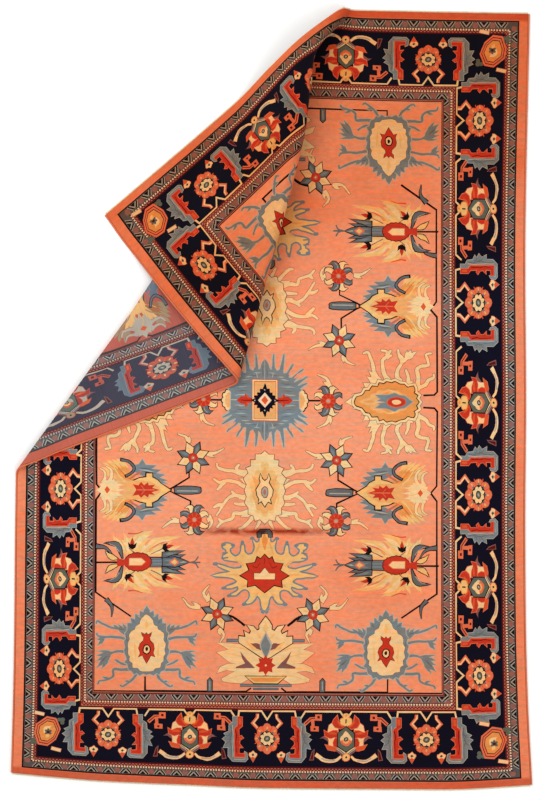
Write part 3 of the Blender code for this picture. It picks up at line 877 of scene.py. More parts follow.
def yellow_palmette():
    """The yellow palmette with deep round bays at the field's axis, and a red star. Its neck is on top."""
    body = symmetric(
        "yellow", (0, 41), (-5, 40.4), (-5.2, 33), (-8.4, 31.8), (-11.6, 34.8), (-10, 29), (-10.6, 23.6),
        (-13, 20.4), (-17, 19.6), (-20.2, 22), (-20.6, 27), (-22.4, 31), (-23.4, 27), (-24.4, 21),
        (-29, 17.8), (-34, 20.6), (-35.2, 25.4), (-31.6, 28.4), (-35.6, 30.2), (-41.8, 29.8),
        (-41.4, 26.2), (-38.6, 24.4), (-38.2, 20.4), (-41.6, 18.4), (-40.6, 15), (-34, 13.6),
        (-26.6, 12.4), (-22.8, 9.6), (-24, 6.2), (-31, 5.4), (-40, 7.8), (-48.8, 10), (-42, 5.6),
        (-34, 2.8), (-43, 0.9), (-53, -1.4), (-42, -2.6), (-32, -3.8), (-27.6, -7.4), (-32, -10),
        (-40.6, -13.4), (-33.4, -13.8), (-27, -12), (-26.6, -15.6), (-30.6, -18.6), (-35.2, -21),
        (-28.8, -20.6), (-24.4, -16.6), (-19.4, -14.6), (-15, -17.6), (-15.4, -24.4), (-20, -29.2),
        (-13.6, -28.4), (-10.2, -25), (-7.4, -20.8), (-4.2, -25.4), (-3, -32), (0, -36), steps=2,
    )
    edge = rimmed(body, ("silver", 1.9), ("blue", 1.4))
    knobs = both_sides(
        oval("blue", -12.4, 35.8, 2.4, 1.8, points=8)
        + oval("blue", -22.4, 31.4, 1.8, 2.4, points=8)
        + oval("blue", -41.4, 29.6, 2.6, 2.0, points=8)
        + oval("blue", -32.0, 29.2, 2.2, 1.6, points=8)
        + bent_line("blue", 1.6, (-36.6, 21.6), (-42.8, 20.8))
        + bent_line("blue", 1.6, (-36.6, 16.6), (-43.4, 15.6))
        + oval("blue", -49.6, 10.2, 3.0, 2.0, points=8)
        + oval("blue", -41, -13.8, 2.8, 1.7, points=8)
        + oval("blue", -35.6, -21.4, 2.8, 1.9, points=8)
        + oval("blue", -20.4, -29.6, 2.8, 1.9, points=8)
    )
    foot = rimmed(lobed("blue", 0, -35.4, 5.0, 4.0, 5, 0.3), ("silver", 0.6))
    shade = both_sides(
        leaf("sand", (-9, 20), (-4, 34), 2.4)
        + leaf("sand", (-20, 8), (-31, 15.6), 2.6)
        + leaf("sand", (-24, 0), (-38, -0.6), 2.2)
        + leaf("sand", (-16, -10), (-24, -13), 2.4)
        + leaf("sand", (-6, -18), (-11.6, -24), 2.2)
    ) + leaf("orange", (0, 24), (0, 40), 6, belly=0.7)
    red = outlined(
        "black", 0.9,
        symmetric(
            "red", (0, 19.4), (-4.4, 15.4), (-7.4, 17.4), (-9.4, 11.6), (-18, 10.4), (-15.2, 4),
            (-24, -1.2), (-16.4, -5.6), (-17, -12.4), (-9.4, -10.4), (0, -18),
        ),
    )
    veins = (
        both_sides(line("madder", 0.6, (-12.4, 8.6), (-8, 6.6), (-5, 11), end=0.4))
        + line("madder", 0.6, (0, 16), (0, 10), end=0.4)
    )
    crown = shape(
        "cream", (-10.4, -4.8), (-10.4, 1.2), (-4.4, 1.2), (0, 6.6), (4.4, 1.2), (10.4, 1.2),
        (10.4, -4.8),
    )
    collar = (
        (-7.4, 37.4), (-7.4, 41.6), (-4.6, 44.8), (4.6, 44.8), (7.4, 41.6), (7.4, 37.4), (4, 37.4),
        (3.4, 41), (-3.4, 41), (-4, 37.4),
    )
    neck = outlined("black", 0.8, shape("slate", *collar))
    return foot + edge + knobs + shade + red + veins + outlined("madder", 0.4, crown) + neck


def lotus():
    """The open lotus at each end of the field, on its axis. It grows up from the field's edge."""
    leaves = rimmed(
        both_sides(
            shape(
                "cream", (-2, 8), (-14, 15), (-26.2, 20.8), (-49, 22), (-37.6, 15.4), (-49, 12.6),
                (-36, 2.4), (-30, 1.6), (-38, 1.2), (-46, -2), (-49, -8.2), (-40, -5.4), (-31, -6.6),
                (-44.4, -13.6), (-43, -16.4), (-36, -17.6), (-25, -18.6), (-14, -12), (0, -10),
            )
        ),
        ("rose", 0.6),
    )
    shades = both_sides(
        line("yellow", 1.6, (-12, 13), (-26, 17), (-40, 18.6), end=0.5)
        + line("yellow", 1.6, (-16, 6), (-30, 10), (-42, 11.6), end=0.5)
        + line("yellow", 1.4, (-20, -3.4), (-34, -3), (-44, -5.6), end=0.5)
        + line("yellow", 1.4, (-16, -10), (-28, -11), (-40, -14.6), end=0.5)
        + shape(
            "mauve", (-25.6, 14), (-23.4, 6.6), (-20.6, 2), (-29.8, -1.6), (-29.6, -3.2), (-10.6, -3),
            (-16, 2.6), (-20.8, 7.4),
        )
    )
    crown = outlined(
        "black", 0.9,
        symmetric(
            "cream", (0, 48.4), (-3.6, 44), (-6.2, 39.6), (-6.2, 35.8), (-8.8, 34.4), (-12, 38.8),
            (-19, 40), (-14.8, 34.2), (-16.2, 31), (-21.6, 33.8), (-20.4, 28.2), (-26.8, 29),
            (-26.8, 22.4), (-4.6, 8), (0, 6),
        ),
    )
    shine = both_sides(
        leaf("yellow", (-5, 14), (-21, 26), 5, bend=0.08) + leaf("yellow", (-4, 26), (-10, 33), 3)
    )
    shine += leaf("yellow", (0, 30), (0, 45), 5)
    bud = (
        both_sides(leaf("mauve", (-3.6, 15), (-16, 21.6), 5.4, bend=-0.1))
        + leaf("ice", (0, 7), (0, 35), 12.4, belly=0.5)
        + leaf("blue", (0, 8), (0, 32), 9.4, belly=0.5)
    )
    foot = (
        both_sides(box("slate", -26, -21.8, 0, -18.6) + box("blue", -26, -20.8, 0, -19.6))
        + outlined("black", 0.9, shape("yellow", (-20.4, -11.2), (20.4, -11.2), (12, -17.8), (-12, -17.8)))
        + shape("orange", (-17, -12.4), (17, -12.4), (10.6, -16.8), (-10.6, -16.8))
        + box("slate", -13, -25, 13, -22.6)
        + both_sides(box("slate", -39.4, 22.8, -26.6, 26.4) + box("blue", -38.6, 24, -27, 25.4))
    )
    bloom = all_round(shape("red", (-1.6, 3), (-2.6, 6), (0, 10.2), (2.6, 6), (1.6, 3)), 8)
    bloom += lobed("red", 0, 0, 5, 5, 8, 0.1, points=2)
    return leaves + shades + crown + shine + bud + foot + bloom + oval("cream", 0, 0, 1.1, points=6)


def blue_palmette():
    """The oval palmette with blue tendrils. Its crown is on top and its stem below."""
    arms = tendrils(
        "blue", "ice", 2.8,
        ((-20, 13.6), (-26, 16.6), (-34, 17.4), (-42.4, 20.8), (-49.4, 24.4), (-50.4, 21.6)),
        ((-19, 3.4), (-22.4, 6.6), (-32.4, 8.6), (-41, 8.4), (-48, 9.4), (-50, 12)),
        ((-19, -7.4), (-25.8, -5.8), (-32.6, -6.6), (-39, -10.6)),
        ((-19, -18.2), (-25, -18), (-31, -14.4)),
        (
            (-16, -24), (-25.8, -24.2), (-33, -24), (-33.4, -30.6), (-39.4, -34.2), (-46.8, -35.6),
            (-48.6, -38.6),
        ),
        ((-9.6, -25), (-12.4, -32), (-17.6, -37), (-23.6, -41), (-26, -40)),
    )
    hands = []
    for base_x, base_y, tip_x, tip_y, width in (
        (-16, 12, -31, 17.4, 7.0),
        (-19, 14, -24.4, 22.6, 3.2),
        (-23, 15, -29, 21.8, 3.0),
        (-28, 16, -34.4, 21.4, 2.6),
        (-41, 8.4, -50.6, 5.0, 3.6),
        (-42, 8.2, -49.4, -0.6, 3.6),
        (-34, -6.8, -50.2, -5.4, 2.6),
        (-36, -8, -51, -10.4, 4.0),
        (-36, -9, -50.8, -15.8, 4.6),
        (-36, -9, -50.4, -22.6, 6.4),
        (-38, -12, -45.4, -24.4, 4.0),
        (-38, -33, -44.6, -31.0, 2.4),
        (-17, -36, -22.4, -35.6, 2.0),
    ):
        hands += leaf("blue", (base_x, base_y), (tip_x, tip_y), width, belly=0.35)
    hands = both_sides(hands)
    ragged = symmetric(
        "blue", (0, 39.6), (-2.8, 35.4), (-3.2, 33), (-6.6, 34.8), (-7.4, 29.4), (-11.6, 31.6),
        (-11.6, 26), (-15.8, 27.4), (-15.4, 22.2), (-19.4, 22), (-19.6, 15), (-21.8, 12), (-20.6, 7),
        (-22.6, 4), (-21.2, -2), (-22.8, -5), (-21.4, -10), (-20.4, -14), (-22.4, -17), (-19.4, -18.4),
        (-18, -24), (-14.6, -25.6), (-12.6, -29), (-10, -27.4), (-7, -30), (-3.4, -28), (0, -29),
    )
    streaks = both_sides(
        leaf("ice", (-6, 28), (-10.4, 30.4), 1.1)
        + leaf("slate", (-11, 22), (-15, 26), 1.1)
        + leaf("slate", (-19.4, 3), (-20.6, 11), 0.9)
        + leaf("ice", (-20, -14), (-21.4, -8), 0.9)
        + leaf("slate", (-39, -10), (-48, -19), 1.2)
        + leaf("slate", (-22, 15.2), (-30, 17.4), 1.0)
    )
    outline = symmetric(
        "cream", (0, 31), (-3.6, 28.4), (-6.2, 25), (-7.2, 21.2), (-10.8, 19.2), (-11.8, 15.8),
        (-15.6, 14), (-17.6, 10.6), (-17, 6), (-19, 2), (-18.2, -3), (-18.8, -8), (-16.8, -11),
        (-17.2, -15.6), (-14.4, -17.4), (-13.8, -22), (-9, -22.4), (-6.6, -25), (0, -25.8), steps=2,
    )
    body = (
        rimmed(outline, ("slate", 0.5))
        + both_sides(leaf("yellow", (-11, -14), (-12.4, 6), 2.4))
        + leaf("yellow", (0, 16), (0, 27), 4)
    )
    fish = outlined(
        "madder", 0.5,
        symmetric(
            "red", (0, 12.4), (-1.6, 10.4), (-5, 13.2), (-4.4, 10.2), (-2.8, 8.2), (-3.2, 5),
            (-6.6, 1.6), (-7.8, -2.8), (-6.2, -7.4), (-8.2, -11), (-4.2, -9.6), (-2.8, -12.6), (0, -17),
        ),
    )
    eye = (
        oval("black", 0, -3.8, 4.2, 5.2)
        + oval("cream", 0, -3.8, 3.1, 4.1)
        + oval("black", 0, -3.4, 1.5, 2.2, points=8)
    )
    return (
        rimmed(hands, ("ice", 0.7))
        + arms
        + hands
        + rimmed(ragged, ("ice", 0.8))
        + streaks
        + body
        + fish
        + eye
    )


def tulip():
    """A black cup with a red flame, which points up."""
    flame = shape("red", (-2.4, 0), (2.4, 0), (1.6, 4), (-0.6, 8.4), (-1.8, 4))
    cup = ((-4.4, 3.4), (-3.6, -1.8), (0, -3.8), (3.6, -1.8), (4.4, 3.4), (1.6, 0.8), (0, 2.2), (-1.6, 0.8))
    return flame + shape("black", *cup)


def flame_palmette():
    """The palmette with yellow flames, on its side."""
    tongues = (
        # base x, base y, tip x, tip y, width, bend
        (17, 9, 35, 29, 10, -0.12),
        (16, 12, 31, 22, 8, 0.10),
        (14, 9, -7, 32, 14, -0.14),
        (12, 13, 8, 29, 11, 0.0),
        (6, 8, -14, 25, 12, -0.12),
        (0, 7, -36, 26, 11, -0.10),
        (-4, 7, -37, 18, 8, 0.04),
        (20, 7, 24, 30, 8, 0.1),
    )
    flames = shape(
        "yellow", (-18, 7), (-14, 14), (-4, 18), (4, 23), (16, 25), (24, 19), (22, 8), (10, 8), (-4, 6),
    )
    light = []
    for x, y, tip_x, tip_y, width, bend in tongues:
        flames += leaf("yellow", (x, y), (tip_x, tip_y), width, bend)
        light += leaf("cream", (x, y + 2), (0.9 * tip_x, 0.9 * tip_y), 0.4 * width, bend)
    streaks = (
        line("salmon", 2.4, (-2, 11), (-10, 17), (-20, 20.6), end=0.6)
        + line("field", 2.6, (2, 17), (-4, 23), (-10, 25.6), end=0.8)
        + line("field", 2.0, (-14, 17), (-24, 21.6), (-31, 23), end=0.8)
        + line("flame", 1.6, (19, 28.6), (12, 28.2), (4, 30.6), end=0.8)
        + line("sand", 1.6, (0, 10), (-8, 15), (-18, 18), end=0.6)
        + line("sand", 1.6, (14, 12), (13, 20), (8, 26), end=0.6)
        + line("sand", 1.4, (20, 10), (24, 18), (28, 25), end=0.6)
        + line("mauve", 0.9, (-4, 8), (-12, 11.6), (-18, 15), end=0.8)
        + line("mauve", 0.9, (12, 9), (16, 12), (18, 14), end=0.8)
    )
    sickles = outlined("black", 0.9, leaf("slate", (24.6, 4), (44, 18.8), 4.6, bend=0.3, belly=0.5))
    shine = line("silver", 0.9, (27.6, 10.4), (32.2, 15.8), (38, 18.4), end=0.5)
    side_leaf = outlined("black", 0.8, leaf("yellow", (29, 3), (42.2, 11.6), 4.8, bend=-0.12))
    barbs = (
        outlined(
            "black", 0.9,
            shape("slate", (-15.6, 4.6), (-15.6, 9.8), (-22, 10.4), (-38.4, 12), (-30, 8.4), (-22, 5)),
        )
        + outlined("black", 0.9, shape("slate", (-20, 4.6), (-26, 7), (-39, 7.6), (-33, 5.2), (-27, 3)))
        + leaf("blue", (-17, 7.4), (-32, 9.8), 2.4)
    )
    upper = flames + light + streaks + sickles + shine + side_leaf
    stem = bent_line("black", 1.8, (28, 0.4), (51.4, 0.4))
    rod = outlined("black", 0.9, box("blue", -21, -4.4, -3, 4.4))
    bands = (
        box("slate", -21, 2.6, -3, 3.6)
        + box("slate", -21, -0.5, -3, 0.5)
        + box("slate", -21, -3.6, -3, -2.6)
    )
    spear = outlined(
        "black", 0.9,
        shape(
            "slate", (-16, 3.8), (-28, 4.6), (-36, 2.6), (-42.4, -0.2), (-36, -2.8), (-28, -4.8),
            (-16, -3.8),
        ),
    )
    glint = both_halves(leaf("blue", (-18, 2), (-36, 1.4), 2.2)) + leaf("ice", (-33, 0), (-41, -0.2), 1.4)
    lozenge = (
        shape("salmon", (-33, 0), (-28, 4.2), (-22, 0), (-28, -4.2))
        + shape("yellow", (-31, 0), (-28, 2.6), (-24.4, 0), (-28, -2.6))
    )
    sprig = (
        bent_line("slate", 1.6, (-42, -0.2), (-54, -0.2))
        + both_halves(line("slate", 1.4, (-44, 0), (-49, 1.6), (-51.6, 5.6)))
    )
    heart = (
        lobed("madder", 9, -0.2, 14.6, 10, 18, 0.12, points=3)
        + lobed("red", 9, -0.2, 13.8, 9.2, 18, 0.16, points=3)
        + shape("red", (20, 3.4), (24, 3.2), (30, 4.4), (30, -4), (24, -2.8), (20, -3))
        + outlined(
            "salmon", 0.7,
            shape("cream", (5.4, 3), (17.4, 3), (17.4, -3.6), (5.4, -3.6), (1.6, -0.4)),
        )
    )
    tulips = (
        placed(tulip(), -18.4, 15, turn=74)
        + placed(tulip(), 18.6, 15, turn=38)
        + placed(tulip(), -19, -14.6, turn=104)
        + placed(tulip(), 14.8, -16.4, turn=176)
    )
    return (
        both_halves(upper)
        + stem
        + rod
        + bands
        + both_halves(barbs)
        + spear
        + glint
        + lozenge
        + sprig
        + heart
        + tulips
    )


def wing_streaks():
    """Light and dark streaks over a blue wing."""
    return (
        leaf("slate", (6, 19), (-12, 15.4), 1.6)
        + leaf("slate", (8, 22), (-8, 20), 1.6)
        + leaf("ice", (8, 20.6), (-10, 17.6), 1.2)
    )


def half_flower():
    """The cream half flower with a fringe on its inner side and a red spot."""
    fringe = []
    for y, reach in ((0, 21.6), (3, 26.6), (5.6, 23.4), (8, 28.6)):
        fringe += leaf("cream", (37, y * 0.7), (reach, y), 3.4)
    edge = shape(
        "cream", (30, 0), (31, 7), (34, 10.6), (37, 8.4), (42, 10), (43, 7), (47.6, 6.6), (46.4, 3.4),
        (51, 0),
    )
    return (
        both_halves(rimmed(fringe, ("sand", 0.5)) + edge)
        + shape("flame", (40.2, 3.8), (43, 0), (40.2, -3.8), (37.4, 0))
    )


def leaf_palmette():
    """The palmette with an orange leaf and blue wings, on its side."""
    wings = (
        outlined(
            "ice", 0.6,
            shape(
                "blue", (-22, 5.6), (-16, 8), (-21, 10), (-12, 12.4), (-18, 15.4), (-9, 16.8),
                (-14.6, 20.4), (-4.4, 21), (-9.6, 24.4), (1.6, 25), (4.8, 30.6), (8.4, 25.6),
                (14.6, 24.8), (12.4, 18), (5, 14), (-6, 13), (-12, 7.4),
            ),
        )
        + wing_streaks()
    )
    sickles = (
        line("black", 3.8, (27.4, 30.4), (19, 28.6), (13.4, 23), (15, 17.4), (22.6, 13.4), end=3.4)
        + line("slate", 2.2, (26, 30), (19, 28.4), (13.4, 23), (15, 17.4), (21.6, 14), end=1.6)
    )
    amber = (
        leaf("orange", (11, 8), (34, 30), 15, bend=-0.1, belly=0.6)
        + leaf("sand", (14, 3), (42, 22), 16, belly=0.55)
        + leaf("orange", (18, 9), (46, 28), 8, bend=0.06, belly=0.6)
    )
    for x, y in ((27, 31), (31.4, 32), (36, 31.4), (41, 30.6), (46, 28.4), (47, 23), (44.6, 18)):
        amber += leaf("yellow", (0.72 * x, 0.7 * y), (x, y), 3.4, belly=0.6)
    amber += (
        line("yellow", 1.6, (22, 8), (28, 14), (34, 24), end=1.0)
        + line("flame", 0.9, (16, 10), (23, 15), (29, 22), end=0.5)
    )
    flush = line("rose", 2.6, (6, 18.6), (11, 15.4), (17, 11.4), end=1.6)
    horns = rimmed(
        (
            line("cream", 4.0, (39, 7), (36, 13), (36.4, 20), (41.6, 23.6), end=1.4)
            + line("cream", 3.4, (45, 7), (42.4, 12), (42.6, 18), (47.4, 21.4), end=1.2)
        ),
        ("rose", 0.5),
    )
    rod = round_shape("slate", (-54, 0), (-51, 3.2), (-30, 3.2), (-28, 0), (-30, -3.2), (-51, -3.2))
    rod = outlined("black", 0.9, rod) + box("silver", -51, 0.2, -30, 1.4)
    links = (
        bent_line("black", 1.6, (-43.6, 18.3), (-43.6, 10.8), (-26.8, 3), (-21, 0))
        + bent_line("black", 1.6, (-21, 0), (-26.4, -2.8), (-42, -12.4), (-42.2, -23.7))
    )
    body = outlined(
        "black", 1.1,
        shape(
            "yellow", (-23.6, 0), (-13.4, 6.4), (-10.6, 9.6), (-6, 12.2), (-5, 12.2), (-5, 16.4),
            (0.8, 16.4), (0.8, 12.8), (8, 11.6), (15.4, 8.2), (15.4, -8.2), (8, -11.6), (0.8, -12.8),
            (0.8, -16.4), (-5, -16.4), (-5, -12.2), (-6, -12.2), (-10.6, -9.6), (-13.4, -6.4),
        ),
    )
    body += round_shape(
        "sand", (-14, 0), (-4, 8), (8, 9.4), (20, 8.4), (24, 0), (20, -8.4), (8, -9.4), (-4, -8),
    )
    fern = shape(
        "red", (-12.6, 0), (-5, 2.2), (-8, 5.2), (-1.6, 4.4), (-1, 7.6), (3, 5), (6, 8), (8.6, 4.6),
        (14.6, 6), (11, 0), (14.6, -6), (8.6, -4.6), (6, -8), (3, -5), (-1, -7.6), (-1.6, -4.4),
        (-8, -5.2), (-5, -2.2),
    )
    fern += line("salmon", 1.0, (-8, 0), (10, 0), end=1.0)
    fern += both_halves(line("salmon", 0.8, (2, 0), (6, 4.4), end=0.5))
    return links + rod + both_halves(wings + amber + flush + sickles + horns) + body + half_flower() + fern


def side_medallion():
    """The big orange oval at the middle of each side of the field, with cream tendrils up and down."""
    runs = (
        ((-10, 20), (-15, 29.8), (-16.4, 37), (-18.8, 44), (-21.4, 49.4), (-25.4, 48)),
        ((-2, 20), (-5, 28.4), (-6.6, 36), (-6.2, 42), (-2.4, 45.4), (-2.6, 50), (-7.4, 51.4)),
        ((-3, 44), (2.4, 46.6)),
        ((-2.4, 46), (1.4, 51)),
        ((10, 20), (7.6, 27.4), (9.4, 33.4), (12.6, 39.8), (10, 46.6), (9, 51.6)),
        ((12.6, 39.8), (17.6, 43.6), (21.6, 49.6)),
        ((19.4, 19), (18.8, 26), (16.8, 32)),
        (
            (27, 14), (29.4, 24.6), (27.4, 32), (31.4, 35.4), (38.6, 36.8), (38.6, 42), (36.6, 47.4),
            (41.6, 48.6),
        ),
        ((27, 13), (36, 17.2), (39.4, 22), (44.2, 24.6), (44.4, 27.6)),
    )
    fan = []
    for tip_x, tip_y in ((18.4, 51.4), (22.6, 52.4), (28.4, 51.4), (25.4, 47), (7, 49.6)):
        fan += leaf("cream", (16, 42), (tip_x, tip_y), 3.2, belly=0.6)
    roots = []
    for x, y, tip_x, tip_y in (
        (-8, 17, -21.6, 32.4),
        (-10, 16, -23.6, 26.6),
        (-16, 12, -27, 19.6),
        (-18, 9, -28, 14.4),
        (-24, 4, -38, 7.4),
        (-1, 18, -4, 29),
        (10, 18, 8, 28),
        (18, 14, 24, 22),
        (26, 10, 31, 22),
    ):
        roots += leaf("cream", (x, y), (tip_x, tip_y), 8, belly=0.3)
    upper = (
        rimmed(fan + roots, ("mauve", 0.5))
        + fingers("mauve", 5.4, 3.2, *runs)
        + fan
        + roots
        + fingers("cream", 4.4, 2.2, *runs)
    )
    spike = rimmed(leaf("cream", (-26, 0), (-45.4, -0.6), 13, belly=0.3), ("mauve", 0.5))
    scallops = (
        (-34.4, 0), (-32.6, 4.4), (-26.6, 6), (-23.6, 10.6), (-19.4, 11), (-17, 15.2), (-11.4, 14.6),
        (-9.6, 18.6), (-5.6, 17.4), (-2.6, 19.8), (2.4, 18.6), (6, 19.8), (11, 17.4), (15.4, 17),
        (18.4, 14.2), (24.4, 15.4), (25.4, 11.4), (24.4, 9), (28.4, 6.4), (27, 3.4),
    )
    outline = [*scallops, (29.4, 0), *[(x, -y) for x, y in reversed(scallops[1:])]]
    body = rimmed(round_shape("orange", *outline, steps=2), ("mauve", 3.6), ("cream", 3.1), ("black", 0.9))
    glow = lobed("sand", -1, 0, 22, 12.4, 14, 0.12) + leaf("sand", (-16, 0), (-32, 0), 8, belly=0.3)
    amber = (
        both_halves(leaf("orange", (-12, 4), (4, 11.6), 2.6) + leaf("yellow", (12, 8), (-4, 13), 2.2))
        + leaf("orange", (-14, 0), (-27, 0), 2.6)
    )
    blue = rimmed(
        shape(
            "blue", (23.4, 0), (15.4, 5.6), (10, 6.6), (5.4, 8.8), (-2, 6.4), (-14, 6.6), (-8.6, 2.6),
            (-12, 1), (-3, -0.2), (-12, -1.6), (-8.6, -3), (-14, -6.4), (-2, -7), (5.4, -9.2), (10, -7),
            (15.4, -6),
        ),
        ("silver", 0.7),
    )
    inside = (
        oval("flame", 7.3, -0.3, 10, 5.4)
        + oval("red", 7.3, -0.3, 9, 4.5)
        + oval("cream", 7.3, -0.3, 4.9, 2.4)
    )
    return both_halves(upper) + spike + body + glow + amber + blue + inside


# ---------------------------------------------------------------------------------------------------------
# The whole drawing

# How far in each stripe begins, in cells, at the four sides of the rug, from the outer edge to the field.
SIDES = ("bottom", "right", "top", "left")
STRIPES = (
    ("edge", 0, 0, 0, 0),
    ("black", 7.0, 8.0, 7.2, 8.4),
    ("outer_guard", 8.4, 9.2, 8.4, 9.9),
    ("black", 15.0, 16.0, 15.9, 17.2),
    ("rose", 17.0, 18.2, 17.8, 19.3),
    ("madder", 19.4, 20.6, 19.9, 21.5),
    ("navy", 21.0, 22.0, 21.3, 22.8),
    ("madder", 76.6, 67.6, 73.8, 64.2),
    ("rose", 78.8, 69.0, 75.4, 65.6),
    ("madder", 82.2, 71.6, 78.2, 68.0),
    ("guard", 84.9, 73.6, 80.8, 70.4),
    ("madder", 92.2, 80.2, 87.9, 76.6),
    ("rose", 93.2, 80.8, 88.7, 77.2),
    ("black", 94.2, 81.4, 89.5, 77.7),
    ("field", 95.6, 82.1, 90.4, 78.4),
)
OUTER_GUARD, NAVY, INNER_GUARD = 2, 6, 10
OUTER_DOTS, OUTER_ZIGZAG = (16.0, 17.1, 16.9, 18.3), (18.2, 19.4, 18.8, 20.4)
INNER_ZIGZAG, INNER_DOTS = (80.5, 70.3, 76.8, 66.8), (83.5, 72.6, 79.5, 69.2)
GUARD_PITCH = 16.7
DOT_PITCH, DOT_HALF = 2.7, 0.8
ZIGZAG_PITCH, ZIGZAG_DEPTH = 3.4, 0.8

# The border's motifs from one corner to the next, as places along each side in cells from the rug's middle
BORDER_PLACES = {
    "bottom": (-161.5, -79.9, -2.5, 76.6, 156.5),
    "right": (-275.6, -187.1, -95.1, -3.1, 96.9, 190.9, 279.4),
    "top": (-161.5, -81.2, -2.3, 76.4, 158.4),
    "left": (-270.6, -181.1, -91.1, -3.1, 96.9, 190.9, 279.4),
}
CORNERS = {  # x, y and turn of each corner's hexagon
    "bottom left": (-220.8, -338.6, 0),
    "bottom right": (221.0, -343.6, 0),
    "top right": (220.7, 349.9, 180),
    "top left": (-221.2, 349.9, 180),
}

MOTIF_BAND = 55.7  # the width of the navy border that its motifs are drawn for
SIDE_STRETCH = 1.17  # along the long sides the motifs are longer
SIDE_ROSETTE = (1.10, 1.07)  # and the rosettes still a little larger
LEAF_SHIFT = 4.5  # the leaves keep their length there, and stand this much further from the rosette
LEAF_REACH = 34  # from a rosette's middle to the foot of its hook leaf
VINE_Y, VINE_SLANT = 27.4, 4.5  # where the vine runs level, and how far before a hook leaf it turns down

# The small twigs beside the field's stars and pinwheels, as runs of points
LOTUS_STAR_TWIGS = (
    ((8.6, 12.6), (13.6, 21), (7.6, 29)),
    ((17, 7), (27, 7), (35, 16)),
    ((-1.6, -14.6), (-6.6, -20.4), (-3, -28.4)),
)
SIDE_STAR_TWIGS = (((3.8, 14.5), (7.8, 21.1), (15.8, 23.9)), ((-13.6, 4.1), (-22.2, 5.1), (-31.2, 9.5)))
PINWHEEL_TWIGS = (((15.3, -1), (24.3, -2.4), (32.3, -8.4)), ((-14.7, 4), (-17.7, -3), (-13.7, -9)))
MIDDLE_TWIGS = (((1.9, -14.6), (-2, -22.6), (-11.1, -26.5)), ((1.9, 14.6), (-2, 22.6), (-11.1, 26.5)))

AXIS_X, AXIS_Y = -3.5, -1.1  # the field's own middle
MIDDLE_ROW = 10  # what is further than this above it belongs to the upper half
FIELD_DROP = -1.2  # the whole field hangs this far lower than its motifs' places say


def side_frame(side):
    """Where a side starts and which way it runs, anticlockwise, with the rug on its left: (x, y, turn)."""
    return {
        "bottom": (0, -HALF_ALONG, 0),
        "right": (HALF_ACROSS, 0, 90),
        "top": (0, HALF_ALONG, 180),
        "left": (-HALF_ACROSS, 0, 270),
    }[side]


def on_side(motif, side, along, inward, size=(1.0, 1.0), flip=False):
    """A motif on a side of the rug, upright as seen from the edge. along counts to the right or up."""
    x, y, turn = side_frame(side)
    a = math.radians(turn)
    run = along if side in ("bottom", "right") else -along
    x += run * math.cos(a) - inward * math.sin(a)
    y += run * math.sin(a) + inward * math.cos(a)
    return placed(motif, x, y, turn, flip, size)


def border_corners(offsets):
    """The rectangle that is this far in from the bottom, right, top and left edge."""
    bottom, right, top, left = offsets
    x0, x1 = left - HALF_ACROSS, HALF_ACROSS - right
    y0, y1 = bottom - HALF_ALONG, HALF_ALONG - top
    return np.array([(x0, y0), (x1, y0), (x1, y1), (x0, y1)])


def round_the_border(offsets):
    """(start, end, turn) of each side of such a rectangle."""
    corners = border_corners(offsets)
    return [(corners[k], corners[(k + 1) % 4], 90 * k) for k in range(4)]


def dots(offsets):
    """A row of white squares all round the rug, this far in."""
    made = []
    for start, end, _ in round_the_border(offsets):
        count = round(float(np.linalg.norm(end - start)) / DOT_PITCH)
        for k in range(count):
            x, y = start + (end - start) * (k + 0.5) / count
            made += box("white", x - DOT_HALF, y - DOT_HALF, x + DOT_HALF, y + DOT_HALF)
    return made


def zigzags(offsets, colour):
    """A zigzag line all round the rug, this far in."""
    made = []
    for start, end, turn in round_the_border(offsets):
        length = float(np.linalg.norm(end - start))
        count = 2 * round(length / ZIGZAG_PITCH)
        run = [(length * k / count, ZIGZAG_DEPTH * (-1) ** k) for k in range(count + 1)]
        made += placed(bent_line(colour, 0.9, *run), *start, turn)
    return made


def guard(row, toward_inside):
    """A guard stripe's repeats, whose triangles point at the navy border."""
    starts, ends = STRIPES[row][1:], STRIPES[row + 1][1:]
    made = []
    for k, (start, end, turn) in enumerate(round_the_border(starts)):
        width = ends[k] - starts[k]
        length = float(np.linalg.norm(end - start))
        corner = width if toward_inside else 0.0
        count = round((length - 2 * corner) / GUARD_PITCH)
        pitch = (length - 2 * corner) / count
        repeat = guard_repeat(pitch, width)
        if not toward_inside:
            repeat = placed(repeat, 0, width, 180)
        for i in range(count):
            made += placed(placed(repeat, corner + (i + 0.5) * pitch), *start, turn)
    return made


def border():
    """The plain stripes from the edge to the field, with their guards, dots and zigzags."""
    drawn = [(colour, border_corners(offsets)) for colour, *offsets in STRIPES]
    drawn += guard(OUTER_GUARD, True) + guard(INNER_GUARD, False)
    drawn += dots(OUTER_DOTS) + dots(INNER_DOTS)
    return drawn + zigzags(OUTER_ZIGZAG, "madder") + zigzags(INNER_ZIGZAG, "madder")


def vine_at_rosette():
    """The vine round a rosette, from one hook leaf to the other."""
    left = ((-29, 20.5), (-28, VINE_Y), (-5.6, VINE_Y))
    run = (*left, (0, 19), *[(-x, y) for x, y in reversed(left)])
    return bent_line("cream", 1.7, *run)


def vine_at_palmette(reach):
    """The vine from the palmette's tip to the next hook leaf, on both sides. reach: how far that leaf is."""
    run = ((-1.9, 21.8), (-5.9, VINE_Y), (VINE_SLANT - reach, VINE_Y), (-reach, 20.5))
    return both_sides(bent_line("cream", 1.7, *run))


